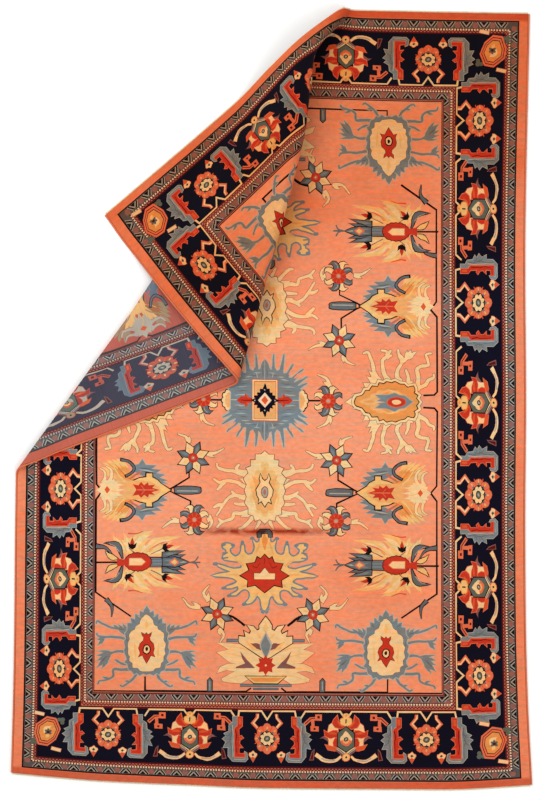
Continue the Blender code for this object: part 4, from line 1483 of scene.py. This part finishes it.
def border_motifs():
    """Rosettes and palmettes by turns along each side, with the vine that joins them."""
    drawn = []
    for k, side in enumerate(SIDES):
        start, end = STRIPES[NAVY][1 + k], STRIPES[NAVY + 1][1 + k]
        across = (end - start) / MOTIF_BAND
        long_side = side in ("left", "right")
        along = SIDE_STRETCH if long_side else 1.0
        size, middle = (along, across), (start + end) / 2
        rosette = placed(border_rosette(), size=SIDE_ROSETTE if long_side else (1, 1))
        leaves = placed(hook_leaf(), -LEAF_SHIFT / along if long_side else 0, size=(1 / along, 1))
        places = BORDER_PLACES[side]
        for i, place in enumerate(places):
            if i % 2 == 0:
                motif = vine_at_rosette() + both_sides(leaves) + rosette
            else:
                apart = (places[i + 1] - places[i - 1]) / 2
                motif = vine_at_palmette(apart / along - LEAF_REACH) + border_palmette()
            drawn += on_side(by_hand(motif), side, place, middle, size)
    for x, y, turn in CORNERS.values():
        drawn += placed(corner_hexagon(), x, y, turn)
    return drawn


# Where the field's motifs stand, in cells from the rug's middle
STARS = (
    # x, y and the twigs beside it
    (-52.6, -214.2, LOTUS_STAR_TWIGS),
    (43.4, -214.5, LOTUS_STAR_TWIGS),
    (-52.6, 221.0, LOTUS_STAR_TWIGS),
    (45.7, 221.0, LOTUS_STAR_TWIGS),
    (67.2, -60.5, SIDE_STAR_TWIGS),
    (69.7, 59.0, SIDE_STAR_TWIGS),
    (-77.2, -59.0, SIDE_STAR_TWIGS),
    (-77.0, 59.0, SIDE_STAR_TWIGS),
)
PINWHEELS = (
    (69.0, 123.2, PINWHEEL_TWIGS),
    (66.7, -121.0, PINWHEEL_TWIGS),
    (-75.7, -120.7, PINWHEEL_TWIGS),
    (-75.7, 123.0, PINWHEEL_TWIGS),
    (58.7, -1.4, MIDDLE_TWIGS),
    (-66.9, -0.4, MIDDLE_TWIGS),
)
AXIS_MOTIFS = (
    # motif, x, y, turn
    (cream_palmette, -5.0, -91.3, 0),
    (cream_palmette, -3.3, 92.0, 180),
    (yellow_palmette, -5.0, -174.6, 0),
    (yellow_palmette, -3.3, 175.0, 180),
    (medallion, -5.0, -1.2, 0),
    (lotus, -3.9, -265.0, 0),
    (lotus, -3.9, 263.5, 180),
)
SIDE_MOTIFS = (
    # motif, x, y, on the left side, upside down
    (flame_palmette, 117.8, 168.4, False, False),
    (flame_palmette, 117.8, -164.8, False, True),
    (flame_palmette, -123.3, -163.0, True, True),
    (flame_palmette, -123.3, 168.4, True, False),
    (leaf_palmette, 113.8, 93.6, False, False),
    (leaf_palmette, 110.8, -92.7, False, True),
    (leaf_palmette, -123.3, -91.1, True, True),
    (leaf_palmette, -123.3, 93.6, True, False),
    (side_medallion, 119.8, -1.6, False, False),
    (side_medallion, -124.0, -1.6, True, False),
    (blue_palmette, -123.4, -246.1, True, False),
    (blue_palmette, 116.5, -248.9, False, False),
    (blue_palmette, 119.6, 255.1, False, True),
    (blue_palmette, -123.4, 255.1, True, True),
)


def sickle(length, width):
    """A grey curved leaf with a black rim, growing up from its foot."""
    run = ((0, 0), (0.24 * length, 0.45 * length), (0.12 * length, length))
    return line("black", width, *run, end=1.4) + line("slate", width - 2.2, *run, end=0.5)


def vines():
    """The thin black stems over the field, drawn for its lower right quarter."""
    return (
        bent_line(
            "black", 1.8, (153.8, -7.3), (164.8, -7.8), (167.8, -11), (167.3, -85.6), (161.4, -92.7),
            (167.3, -100.8), (167.3, -193), (132, -217.3),
        )
        + bent_line(
            "black", 1.7, (118, -276.9), (118, -291.5), (30, -291.5), (16.5, -291.5), (11.6, -287.9),
        )
        + line("black", 2.6, (41.1, -214.5), (30, -217), (17.9, -225.7))
        + bent_line("black", 1.6, (60.7, -1.2), (30, -1.2))
        + placed(sickle(19, 6.0), 157.3, -199.7, turn=170)
        + placed(sickle(21, 6.0), 167.2, -147.1, turn=130)
        + outlined(
            "black", 0.8,
            shape(
                "slate", (50.6, -291.4), (55.2, -291.4), (55.2, -280.6), (52.9, -278.2), (50.6, -280.6),
            ),
        )
        + box("silver", 52.4, -290, 53.4, -281)
    )


def twigs(runs):
    """The small leaves beside a star or a pinwheel: for each run a long curled blade and a short one."""
    blades = []
    for run in runs:
        (x, y), (middle_x, middle_y) = run[:2]
        dx, dy = middle_x - x, middle_y - y
        blades += line("cream", 4.2, *run, end=1.0)
        blades += leaf("cream", (x, y), (x + 0.9 * dx - 0.5 * dy, y + 0.9 * dy + 0.5 * dx), 3.4)
    return outlined("mauve", 0.5, blades)


def field_motifs():
    """The stems and twigs, and over them the palmettes and flowers."""
    middle = np.array((AXIS_X, AXIS_Y))
    drawn = []
    for flip_x in (1, -1):
        for flip_y in (1, -1):
            drawn += [(colour, (points - middle) * (flip_x, flip_y) + middle) for colour, points in vines()]
    for x, y, runs in STARS + PINWHEELS:
        up = y > AXIS_Y + MIDDLE_ROW
        drawn += placed(twigs(runs), x, y, flip=x < AXIS_X, size=(1, -1 if up else 1))
    for motif, x, y, left, down in SIDE_MOTIFS:
        mirror = (-1 if left else 1, -1 if down else 1)
        drawn += [(colour, points * mirror + (x, y)) for colour, points in motif()]
    for motif, x, y, turn in AXIS_MOTIFS:
        drawn += placed(motif(), x, y, turn)
    for flower, places in ((star(), STARS), (pinwheel(), PINWHEELS)):
        for x, y, _ in places:
            drawn += placed(flower, x, y, flip=x < AXIS_X)
    return placed(by_hand(drawn), 0, FIELD_DROP)


# ---------------------------------------------------------------------------------------------------------
# From the drawing to the folded cloth

CHORD, BACK_CHORD = 0.0004, 0.0008  # how far a triangle's edge may leave the folded sheet
SLACK, BACK_SLACK = 0.12, 0.25  # how far, in cells, the edge of a colour may be moved to save points
PITCHES = (8, 4, 2)  # cells between the points that keep triangles short, closer where the sheet bends
SPLITS = 9  # how often a line may be halved
MERGE = 0.02  # outline points nearer to each other than this, in cells, are one
UV_SIZE = max(WIDTH, LENGTH) + 0.1  # what the UV map's square covers, in metres


def cut_to_edge(points):
    """An outline with whatever lies past the rug's edge pressed onto it."""
    return np.clip(points, (-HALF_ACROSS, -HALF_ALONG), (HALF_ACROSS, HALF_ALONG))


def cut_up(points, edges):
    """Points and edges joined by triangles that don't overlap."""
    found = delaunay_2d_cdt([Vector(p) for p in points.tolist()], edges, [], 0, MERGE, False)
    return np.array([tuple(p) for p in found[0]]), np.array([tuple(face) for face in found[2]])


def covered(middles, points):
    """Which of these middles lie inside an outline."""
    inside = np.zeros(len(middles), int)
    for (x0, y0), (x1, y1) in zip(points, np.roll(points, -1, axis=0)):
        if y0 == y1:
            continue
        low, high = min(y0, y1), max(y0, y1)
        spans = (middles[:, 1] >= low) & (middles[:, 1] < high)
        reach = x0 + (middles[:, 1] - y0) * (x1 - x0) / (y1 - y0)
        inside += np.where(spans & (reach > middles[:, 0]), 1 if y1 > y0 else -1, 0)
    return inside != 0


def painted(outlines, points, triangles):
    """The colour of each triangle: that of the last outline drawn over it."""
    middles = points[triangles].mean(axis=1)
    colour = np.zeros(len(triangles), int)
    order = np.argsort(middles[:, 1])
    heights = middles[order, 1]
    for index, outline in outlines:
        low, high = outline.min(axis=0), outline.max(axis=0)
        near = order[np.searchsorted(heights, low[1]):np.searchsorted(heights, high[1])]
        near = near[(middles[near, 0] > low[0]) & (middles[near, 0] < high[0])]
        colour[near[covered(middles[near], outline)]] = index
    return colour


def colour_borders(outlines):
    """The lines between the colours: points in cells, and runs of their numbers between the places where
    lines meet."""
    starts = np.cumsum([0] + [len(points) for _, points in outlines])
    edges = [(a + i, a + (i + 1) % (b - a)) for a, b in zip(starts, starts[1:]) for i in range(b - a)]
    points, triangles = cut_up(np.concatenate([points for _, points in outlines]), edges)
    colour = painted(outlines, points, triangles)
    corners = np.sort(triangles[:, [0, 1, 1, 2, 2, 0]].reshape(-1, 2), axis=1)
    edges, number, faces = np.unique(corners, axis=0, return_inverse=True, return_counts=True)
    total = np.bincount(number.ravel(), np.repeat(colour, 3))
    squares = np.bincount(number.ravel(), np.repeat(colour, 3) ** 2)
    beside = {}
    for a, b in edges[(faces == 1) | (2 * squares != total**2)].tolist():
        beside.setdefault(a, []).append(b)
        beside.setdefault(b, []).append(a)
    meetings = {point for point, others in beside.items() if len(others) != 2}
    runs = []
    for start in [*sorted(meetings), *beside]:
        while beside[start]:
            run = [start]
            while beside[run[-1]] and (len(run) == 1 or run[-1] not in meetings):
                ahead = beside[run[-1]].pop()
                beside[ahead].remove(run[-1])
                run.append(ahead)
            runs.append(run)
    return points, runs


def thinned(run, points, slack):
    """The points that a run needs to keep within slack of its course."""
    places, kept, todo = points[run], {0, len(run) - 1}, [(0, len(run) - 1)]
    while todo:
        a, b = todo.pop()
        if b - a < 2:
            continue
        off, (x, y) = places[a + 1:b] - places[a], places[b] - places[a]
        length = math.hypot(x, y)
        away = abs(off[:, 0] * y - off[:, 1] * x) / length if length > 0 else np.hypot(*off.T)
        worst = int(np.argmax(away))
        if away[worst] > slack:
            kept.add(a + 1 + worst)
            todo += [(a, a + 1 + worst), (a + 1 + worst, b)]
    return [run[i] for i in sorted(kept)]


def split_lines(points, lines, chord):
    """The lines halved until they are short and none leaves the folded sheet by more than chord."""
    for _ in range(SPLITS):
        ends, halfway = points[lines], points[lines].mean(axis=1)
        on_sheet = [folded(*(places * CELL).T) for places in (ends[:, 0], ends[:, 1], halfway)]
        off = np.linalg.norm(on_sheet[2] - (on_sheet[0] + on_sheet[1]) / 2, axis=1)
        cut = (off > chord) | (np.linalg.norm(ends[:, 1] - ends[:, 0], axis=1) > PITCHES[0])
        if not cut.any():
            break
        new, (a, b) = len(points) + np.arange(cut.sum()), lines[cut].T
        points = np.concatenate([points, halfway[cut]])
        lines = np.concatenate([lines[~cut], np.stack([a, new], axis=1), np.stack([new, b], axis=1)])
    return points, lines


def plain_points(chord):
    """Points all over the rug, closer together where a longer edge would leave the folded sheet."""
    found = []
    for pitch in PITCHES:
        spots = [np.arange(pitch - half, half - pitch / 2, pitch) for half in (HALF_ACROSS, HALF_ALONG)]
        grid = np.stack(np.meshgrid(*spots), axis=-1).reshape(-1, 2)
        needed = np.full(len(grid), pitch == PITCHES[0])
        for step in ((pitch, 0), (0, pitch), (pitch, pitch), (pitch, -pitch)):
            before, here, after = (
                folded(*((grid + share * np.array(step)) * CELL).T) for share in (-1, 0, 1)
            )
            needed |= np.linalg.norm((before + after) / 2 - here, axis=1) > chord
        found.append(grid[needed])
    return np.unique(np.concatenate(found), axis=0)


def cut_out(outlines, points, runs, slack, chord):
    """The drawing as triangles that follow the folded sheet: (points in cells, triangles, their colours)."""
    kept = [thinned(run, points, slack) for run in runs]
    pairs = np.array([(a, b) for run in kept for a, b in zip(run, run[1:]) if a != b])
    used, number = np.unique(pairs, return_inverse=True)
    places, lines = split_lines(points[used], number.reshape(-1, 2), chord)
    points, triangles = cut_up(np.concatenate([places, plain_points(chord)]), lines.tolist())
    return points, triangles, painted(outlines, points, triangles)


def linear(colour):
    """An sRGB colour from 0 to 255 as linear numbers from 0 to 1."""
    c = np.array(colour, float) / 255
    return np.where(c <= 0.04045, c / 12.92, ((c + 0.055) / 1.055) ** 2.4)


def shown_wool(colour):
    """The same, for wool as the studio's light needs it."""
    return DYE_DEPTH * linear(colour)


def mesh_object(name, places, faces, finish):
    """A smooth shaded object in the scene."""
    mesh = bpy.data.meshes.new(name)
    mesh.from_pydata([tuple(p) for p in places], [], [tuple(f) for f in faces])
    mesh.shade_smooth()
    made = bpy.data.objects.new(name, mesh)
    bpy.context.scene.collection.objects.link(made)
    mesh.materials.append(finish)
    return made


def add_uv(mesh, flat):
    """A UV map of the flat cloth: flat gives x and y in metres for each point of the mesh."""
    corners = np.empty(len(mesh.loops), dtype=np.int32)
    mesh.loops.foreach_get("vertex_index", corners)
    uv = mesh.uv_layers.new(name="OFBake")
    uv.data.foreach_set("uv", (flat[corners] / UV_SIZE + 0.5).astype(np.float32).ravel())


def add_wool_colours(mesh, colours):
    """The wool's colour at each of the mesh's triangles, as linear numbers."""
    rgba = np.repeat(np.concatenate([colours, np.ones((len(colours), 1))], axis=1), 3, axis=0)
    attribute = mesh.color_attributes.new("wool", "FLOAT_COLOR", "CORNER")
    attribute.data.foreach_set("color", rgba.astype(np.float32).ravel())


# ---------------------------------------------------------------------------------------------------------
# Materials


class Nodes:
    """A material's node tree, with short calls to add nodes and link them."""

    def __init__(self, name, roughness, sheen=0.0):
        self.material = bpy.data.materials.new(name)
        self.material.use_nodes = True
        self.tree = self.material.node_tree
        self.shader = self.tree.nodes["Principled BSDF"]
        self.shader.inputs["Roughness"].default_value = roughness
        self.shader.inputs["Specular IOR Level"].default_value = 0.06
        self.shader.inputs["Sheen Weight"].default_value = sheen
        self.shader.inputs["Sheen Roughness"].default_value = 0.5

    def put(self, value, socket):
        """Links a socket's value to another socket, or sets a plain value there."""
        if isinstance(value, bpy.types.NodeSocket):
            self.tree.links.new(value, socket)
        else:
            socket.default_value = value

    def node(self, kind, settings=None, **inputs):
        """A new node, with these properties and inputs."""
        made = self.tree.nodes.new(kind)
        for key, value in (settings or {}).items():
            setattr(made, key, value)
        for key, value in inputs.items():
            self.put(value, made.inputs[key.replace("_", " ")])
        return made

    def math(self, operation, a, b=0.0, c=0.0):
        """One sum, on up to three values."""
        made = self.node("ShaderNodeMath", {"operation": operation})
        for socket, value in zip(made.inputs, (a, b, c)):
            self.put(value, socket)
        return made.outputs[0]

    def times(self, first, *others):
        """The product of these values."""
        for other in others:
            first = self.math("MULTIPLY", first, other)
        return first

    def flat_place(self, across, along):
        """The place on the flat cloth, in metres, times these scales along X and Y."""
        uv = self.node("ShaderNodeUVMap", {"uv_map": "OFBake"}).outputs[0]
        scale = (across * UV_SIZE, along * UV_SIZE, 1.0)
        return self.node("ShaderNodeMapping", Vector=uv, Scale=scale).outputs[0]

    def object_place(self):
        """The place on a piece, in metres."""
        return self.node("ShaderNodeTexCoord").outputs["Object"]

    def noise(self, place, detail=2.0, roughness=0.5, scale=1.0):
        """Soft noise from 0 to 1 over these places."""
        settings = dict(Scale=scale, Detail=detail, Roughness=roughness)
        return self.node("ShaderNodeTexNoise", Vector=place, **settings).outputs[0]

    def range(self, value, low, high, to_low, to_high):
        """A value from low to high stretched to run from to_low to to_high."""
        limits = dict(From_Min=low, From_Max=high, To_Min=to_low, To_Max=to_high)
        return self.node("ShaderNodeMapRange", Value=value, **limits).outputs[0]

    def dye_and_shade_tint(self, colour, share, factors):
        """A colour with this share of it tinted darker by factors of red, green and blue. It serves both the
        deeper dyes and the painted shade.
        """
        made = self.node("ShaderNodeMix", {"data_type": "RGBA", "blend_type": "MULTIPLY"})
        for socket, value in ((0, share), (6, colour), (7, (*factors, 1))):
            self.put(value, made.inputs[socket])
        return made.outputs[2]

    def show(self, colour, light):
        """A colour made lighter or darker by a factor, as the surface's own."""
        made = self.node("ShaderNodeVectorMath", {"operation": "SCALE"}, Scale=light)
        self.put(colour, made.inputs[0])
        self.put(made.outputs[0], self.shader.inputs["Base Color"])

    def bump(self, height, distance, strength=1.0):
        """Relief of this height in metres, for light to catch on."""
        made = self.node("ShaderNodeBump", Height=height, Distance=distance, Strength=strength)
        self.put(made.outputs[0], self.shader.inputs["Normal"])


KNOT = CELL / 2
# Darker tints, as factors of red, green and blue: deeper dyes, and painted shade
NAP_SHADE_TINT = (0.85, 0.66, 0.51)  # painted shade toward the top of the rug, where the pile's nap faces away from the light
YARN = (0.98, 0.88, 0.82)  # from one yarn to the next, and away from a band across the middle
STREAKED = (0.96, 0.76, 0.64)  # in the thin streaks along the rows of knots
BOTTOM_END_SHADE = (0.76, 0.50, 0.47)  # painted shade in the outer stripe at the bottom end
TOP_END_SHADE = (0.82, 0.45, 0.35)  # and painted shade in the outer stripe at the top end
SHADE_AND_DIRT_IN_CREASE = (0.42, 0.11, 0.06)  # painted shade of a crease in the pile, with some dirt along it
END_STRIPE, END_FADE = 0.052, 0.034  # how far in from the ends their painted shade begins and is full
CREASE_X, CREASE_Y = -0.03, -0.786
CREASE_HALF = (0.24, 0.46)  # how far from its middle the crease begins to fade and has gone
FOUNDATION_SHARE = 0.05  # how much of the foundation's threads shows between the knots of the back


def pile_wool():
    """Wool pile: the dye of one batch of yarn differs from the next one's, and the tufts catch light. Shade
    is painted toward the top, at the ends and, with some dirt, along a crease.
    """
    made = Nodes("pile_wool", 0.9, sheen=0.03)
    wool = made.node("ShaderNodeVertexColor", {"layer_name": "wool"}).outputs[0]
    batches = made.noise(made.flat_place(0.7, 22), detail=3)
    streaks = made.noise(made.flat_place(6, 66), detail=3, roughness=0.6)
    mottle = made.noise(made.flat_place(30, 48), detail=2)
    patches = made.noise(made.flat_place(1.6, 2.2), detail=3)
    tufts = made.noise(made.flat_place(1 / KNOT, 1 / KNOT), detail=1)
    place = made.node("ShaderNodeSeparateXYZ", Vector=made.flat_place(1, 1)).outputs
    x, y = (made.math("SUBTRACT", part, UV_SIZE / 2) for part in place[:2])

    toward_corner = made.math("MULTIPLY_ADD", x, -0.3, y)
    # Darker away from a slanting band across the middle of the rug
    off_middle = made.math("ABSOLUTE", made.math("ADD", toward_corner, 0.15))
    off_middle = made.range(off_middle, 0.4, 1.1, 0.0, 1.0)
    # Painted shade of the pile's nap: darker toward the top and the folded corner, in uneven patches
    painted_nap_shade = made.times(
        made.range(toward_corner, 0.3, 1.3, 0.0, 1.0), made.range(patches, 0.35, 0.65, 0.7, 1.15)
    )
    colour = made.dye_and_shade_tint(made.dye_and_shade_tint(wool, painted_nap_shade, NAP_SHADE_TINT), off_middle, YARN)
    colour = made.dye_and_shade_tint(colour, made.range(batches, 0.4, 0.6, 0.0, 0.9), YARN)
    colour = made.dye_and_shade_tint(colour, made.range(patches, 0.45, 0.62, 0.0, 0.9), YARN)
    colour = made.dye_and_shade_tint(colour, made.range(streaks, 0.44, 0.58, 0.0, 1.0), STREAKED)

    # Painted shade on the outer stripe at both ends; at the top end mostly on its right part, off the folded
    # corner
    in_end = made.range(made.math("ABSOLUTE", y), LENGTH / 2 - END_STRIPE, LENGTH / 2 - END_FADE, 0.0, 1.0)
    bottom = made.times(in_end, made.range(y, -0.1, 0.1, 1.0, 0.0))
    right = made.range(x, 0.2, 0.5, 0.1, 1.0)
    top = made.times(in_end, made.times(made.range(y, -0.1, 0.1, 0.0, 1.0), right))
    colour = made.dye_and_shade_tint(made.dye_and_shade_tint(colour, bottom, BOTTOM_END_SHADE), top, TOP_END_SHADE)

    # Painted shade and some dirt along a crease in the pile, uneven along its length
    wander = made.range(made.noise(made.flat_place(7, 7), detail=2), 0.3, 0.7, -0.008, 0.008)
    off_crease = made.math("ABSOLUTE", made.math("SUBTRACT", made.math("ADD", y, wander), CREASE_Y))
    off_its_middle = made.math("ABSOLUTE", made.math("SUBTRACT", x, CREASE_X))
    along_crease = made.range(off_its_middle, *CREASE_HALF, 1.0, 0.0)
    crease_patches = made.range(made.noise(made.flat_place(16, 30), detail=3), 0.36, 0.52, 0.5, 1.0)
    crease_shade_and_dirt = made.times(made.range(off_crease, 0.004, 0.03, 1.0, 0.0), made.times(along_crease, crease_patches))
    colour = made.dye_and_shade_tint(colour, crease_shade_and_dirt, SHADE_AND_DIRT_IN_CREASE)

    light = made.times(
        made.range(batches, 0.35, 0.65, 0.94, 1.06),
        made.range(streaks, 0.38, 0.62, 0.87, 1.13),
        made.range(mottle, 0.3, 0.7, 0.92, 1.08),
        made.range(tufts, 0.2, 0.8, 0.86, 1.14),
    )
    made.show(colour, light)
    made.put(made.range(patches, 0.3, 0.7, 0.84, 0.94), made.shader.inputs["Roughness"])
    made.bump(tufts, 0.0016, 0.6)
    return made.material


def back_weave():
    """The back: the same pattern in small knots, greyed by the foundation's pale threads."""
    made = Nodes("back_weave", 0.9)
    wool = made.node("ShaderNodeVertexColor", {"layer_name": "wool"}).outputs[0]
    place = made.node("ShaderNodeSeparateXYZ", Vector=made.flat_place(1 / KNOT, 1 / KNOT)).outputs
    columns, rows = (
        made.math("ABSOLUTE", made.math("SINE", made.math("MULTIPLY", part, math.pi))) for part in place[:2]
    )
    knots = made.times(rows, columns)
    streaks = made.noise(made.flat_place(4, 120), detail=2)
    greyed = made.node("ShaderNodeMix", {"data_type": "RGBA"})
    for socket, value in ((0, FOUNDATION_SHARE), (6, wool), (7, (*linear(FOUNDATION), 1))):
        made.put(value, greyed.inputs[socket])
    light = made.times(made.range(knots, 0, 1, 0.86, 1.06), made.range(streaks, 0.3, 0.7, 0.94, 1.06))
    made.show(greyed.outputs[2], light)
    made.bump(knots, 0.0008, 0.5)
    return made.material


def wrapped_wool():
    """The selvedge's overcast wool."""
    made = Nodes("wrapped_wool", 0.9, sheen=0.05)
    place = made.object_place()
    batches = made.noise(place, scale=3.0)
    fibres = made.noise(place, scale=700.0)
    light = made.times(made.range(batches, 0.3, 0.7, 0.88, 1.1), made.range(fibres, 0.2, 0.8, 0.85, 1.1))
    made.show(shown_wool(OVERCAST), light)
    made.bump(fibres, 0.0005, 0.5)
    return made.material


def web_cotton():
    """The end webs' undyed cotton, woven plain."""
    made = Nodes("web_cotton", 0.9)
    place = made.object_place()
    bands = {"bands_direction": "X"}
    weave = made.node("ShaderNodeTexWave", bands, Vector=place, Scale=160.0, Distortion=1.5).outputs["Fac"]
    wear = made.noise(place, detail=3, scale=20.0)
    light = made.times(made.range(weave, 0, 1, 0.82, 1.05), made.range(wear, 0.3, 0.7, 0.9, 1.08))
    made.show(linear(COTTON), light)
    made.bump(weave, 0.0006, 0.6)
    return made.material


def floor_white():
    """The studio's pale floor."""
    made = Nodes("floor_white", 0.9)
    shade = made.range(made.noise(made.object_place(), scale=0.7), 0.3, 0.7, 0.985, 1.0)
    made.show(FLOOR_COLOUR, shade)
    return made.material


# ---------------------------------------------------------------------------------------------------------
# Pieces

WRAP_PITCH, WRAP_POINTS = 0.004, 3  # of one turn of the selvedge's wool
WRAP_DEPTH = 0.0007
CORD_SIDES = 8
WEB_STEP = 0.004
WEB_RAGGED = 0.12  # how much shorter the shortest warp threads are
# Shares of the web's width and half height
WEB_SECTION = ((0, 1), (0.5, 1.1), (1, 0.7), (1, -0.7), (0.5, -1), (0, -1))
FLOOR_GAP = 0.0002


def rim_faces(triangles):
    """The mesh's border edges, in its faces' own direction."""
    edges = triangles[:, [0, 1, 1, 2, 2, 0]].reshape(-1, 2).astype(np.int64)
    count = edges.max() + 1
    return edges[~np.isin(edges @ (count, 1), edges @ (1, count))]


def cloth_piece(name, places, faces, normals, shades, flat, finish):
    """A piece of the rug with its wool colours, and its place on the flat rug as UV map."""
    piece = mesh_object(name, places, faces, finish)
    piece.data.normals_split_custom_set_from_vertices([tuple(n) for n in normals])
    add_wool_colours(piece.data, shades)
    add_uv(piece.data, flat)
    return piece


def rug_cloth(finish, back_finish):
    """The pile with the cut rim, and the back: each is the drawing on its side of the folded sheet."""
    outlines = border() + border_motifs() + field_motifs()
    outlines = [(COLOURS.index(colour), cut_to_edge(points)) for colour, points in outlines]
    lines = colour_borders(outlines)

    points, triangles, colour = cut_out(outlines, *lines, SLACK, CHORD)
    flat = points * CELL
    middle, normal = folded(*flat.T), directions(*flat.T)[2]
    rim = rim_faces(triangles)
    used, place = np.unique(rim, return_inverse=True)
    (a, b), low = (place.reshape(-1, 2) + len(points)).T, len(used)
    top = middle + normal * THICKNESS / 2
    foot = middle[used] - normal[used] * THICKNESS / 2
    wall = np.concatenate([np.stack([a, a + low, b], axis=1), np.stack([b, a + low, b + low], axis=1)])
    wools = np.array([shown_wool(WOOL[name]) for name in COLOURS])
    rim_wool = np.tile(shown_wool(WOOL["edge"]) * RIM_SHADE, (len(wall), 1))
    pile = cloth_piece(
        "rug_pile",
        np.concatenate([top, top[used], foot]),
        np.concatenate([triangles, wall]),
        np.concatenate([normal, np.zeros((2 * low, 3))]),  # a normal of 0 leaves the wall its own
        np.concatenate([wools[colour], rim_wool]),
        np.concatenate([flat, flat[used], flat[used]]),
        finish,
    )

    points, triangles, colour = cut_out(outlines, *lines, BACK_SLACK, BACK_CHORD)
    flat = points * CELL
    normal = directions(*flat.T)[2]
    bottom = folded(*flat.T) - normal * THICKNESS / 2
    wools = np.array([shown_wool(BACK_WOOL.get(name, WOOL[name])) for name in COLOURS])
    back = cloth_piece("rug_back", bottom, triangles[:, ::-1], -normal, wools[colour], flat, back_finish)
    return pile, back


def edge_points(side, step):
    """Points along one edge of the straight rug, this far apart on the cloth or less."""
    out = 1 if side in ("right", "top") else -1
    if side in ("left", "right"):
        y = np.linspace(-LENGTH / 2, LENGTH / 2, int(LENGTH / step) + 1)
        return np.full(len(y), out * WIDTH / 2), y
    x = np.linspace(-WIDTH / 2, WIDTH / 2, int(WIDTH / step) + 1)
    return x, np.full(len(x), out * LENGTH / 2)


def tube(name, rings, turned, split, finish):
    """A closed tube through rings of points. turned: the rings run the other way round. split: 0 or 1, for
    the one or the other diagonal of its faces."""
    count, sides = rings.shape[:2]
    i, k = np.meshgrid(np.arange(count - 1), np.arange(sides), indexing="ij")
    here, there = i * sides + k, i * sides + (k + 1) % sides
    quads = np.stack([here, there, there + sides, here + sides], axis=-1).reshape(-1, 4)
    quads = np.roll(quads, split, axis=1)
    ends = [range(sides)[::-1], range((count - 1) * sides, count * sides)]
    faces = [*quads.tolist(), *ends]
    return mesh_object(name, rings.reshape(-1, 3), [f[::-1] for f in faces] if turned else faces, finish)


def selvedge_cord(name, side, finish):
    """An overcast cord: one bulge for each turn of the wool."""
    x, y = edge_points(side, WRAP_PITCH / WRAP_POINTS)
    out = 1 if side == "right" else -1
    _, along, normal = directions(x, y)
    outward = out * np.cross(along, normal)
    middle = folded(x, y) + outward * (SELVEDGE_RADIUS + PIECE_GAP)
    radius = SELVEDGE_RADIUS - WRAP_DEPTH * (np.arange(len(x)) % WRAP_POINTS == 0)
    a = np.linspace(0, 2 * math.pi, CORD_SIDES, endpoint=False)[None, :, None]
    round_it = np.cos(a) * outward[:, None] + np.sin(a) * normal[:, None]
    return tube(name, middle[:, None] + radius[:, None, None] * round_it, out > 0, 0, finish)


def end_web(name, side, finish):
    """The narrow woven strip at one end, with the short ends of the warp threads."""
    x, y = edge_points(side, WEB_STEP)
    out = 1 if side == "top" else -1
    across, _, normal = directions(x, y)
    outward = out * np.cross(normal, across)
    foot = folded(x, y) - normal * (THICKNESS - WEB_THICKNESS) / 2
    rng = np.random.default_rng(7 if out > 0 else 8)
    ragged = WEB_WIDTH * (1 - WEB_RAGGED * rng.random(len(x)))[:, None]
    lines = []
    for share, lift in WEB_SECTION:
        at = foot + outward * (PIECE_GAP + share * ragged) + normal * lift * WEB_THICKNESS / 2
        at[:, 2] = np.maximum(at[:, 2], FLOOR_GAP)
        lines.append(at)
    return tube(name, np.stack(lines, axis=1), out < 0, 1, finish)


# ---------------------------------------------------------------------------------------------------------
# Floor, light and camera

PHOTO_CENTRE = (-0.0092, -0.0030)  # what the middle of the photo shows, in metres
PHOTO_SPAN = 4.718  # how much of the floor its height takes in
CAMERA_HEIGHT = 15.0
SENSOR = 36.0
FLOOR_SIZE, FLOOR_Z = 40.0, -0.001
FLOOR_COLOUR = (0.93, 0.93, 0.925)
SKY_COLOUR, SKY_STRENGTH = (1.0, 0.99, 0.97, 1), 0.75
LAMPS = (
    # name, place, size, power
    ("key", (-3.0, 3.5, 6.0), 5.0, 260.0),
    ("fill", (3.5, -2.5, 6.5), 6.0, 140.0),
)


def studio():
    """The floor, the light and the camera."""
    scene = bpy.context.scene
    mesh = bpy.data.meshes.new("floor")
    half = FLOOR_SIZE / 2
    corners = ((-half, -half), (half, -half), (half, half), (-half, half))
    mesh.from_pydata([(x, y, FLOOR_Z) for x, y in corners], [], [range(4)])
    mesh.materials.append(floor_white())
    floor = bpy.data.objects.new("floor", mesh)
    scene.collection.objects.link(floor)

    scene.world = bpy.data.worlds.new("studio")
    scene.world.use_nodes = True
    sky = scene.world.node_tree.nodes["Background"]
    sky.inputs["Color"].default_value = SKY_COLOUR
    sky.inputs["Strength"].default_value = SKY_STRENGTH
    for name, place, size, power in LAMPS:
        lamp = bpy.data.lights.new(name, "AREA")
        lamp.size, lamp.energy = size, power
        light = bpy.data.objects.new(name, lamp)
        light.location = place
        light.rotation_euler = (-Vector(place)).to_track_quat("-Z", "Y").to_euler()
        scene.collection.objects.link(light)

    lens = bpy.data.cameras.new("camera")
    lens.sensor_width = SENSOR
    lens.lens = SENSOR * CAMERA_HEIGHT / PHOTO_SPAN
    lens.clip_end = 100
    camera = bpy.data.objects.new("camera", lens)
    camera.location = (*PHOTO_CENTRE, CAMERA_HEIGHT)
    scene.collection.objects.link(camera)
    scene.camera = camera
    scene.view_settings.view_transform = "Standard"


def main():
    """Makes the pieces, attaches them to the root body, and hides the CAD model's solids that they replace.
    """
    pile, back = rug_cloth(pile_wool(), back_weave())
    wool, cotton = wrapped_wool(), web_cotton()
    cords = [selvedge_cord(f"overcast_{side}", side, wool) for side in ("left", "right")]
    webs = [end_web(f"web_{side}", side, cotton) for side in ("bottom", "top")]
    for slot, pieces in (("pile", [pile, back]), ("overcast_wool", cords), ("end_cotton", webs)):
        for piece in pieces:
            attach(piece, "root")
    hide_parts("rug_body")
    for piece, side in zip(cords, ("left", "right")):
        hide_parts(f"selvedge_{side}")
    for piece, side in zip(webs, ("bottom", "top")):
        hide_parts(f"end_web_{side}")
    studio()


main()
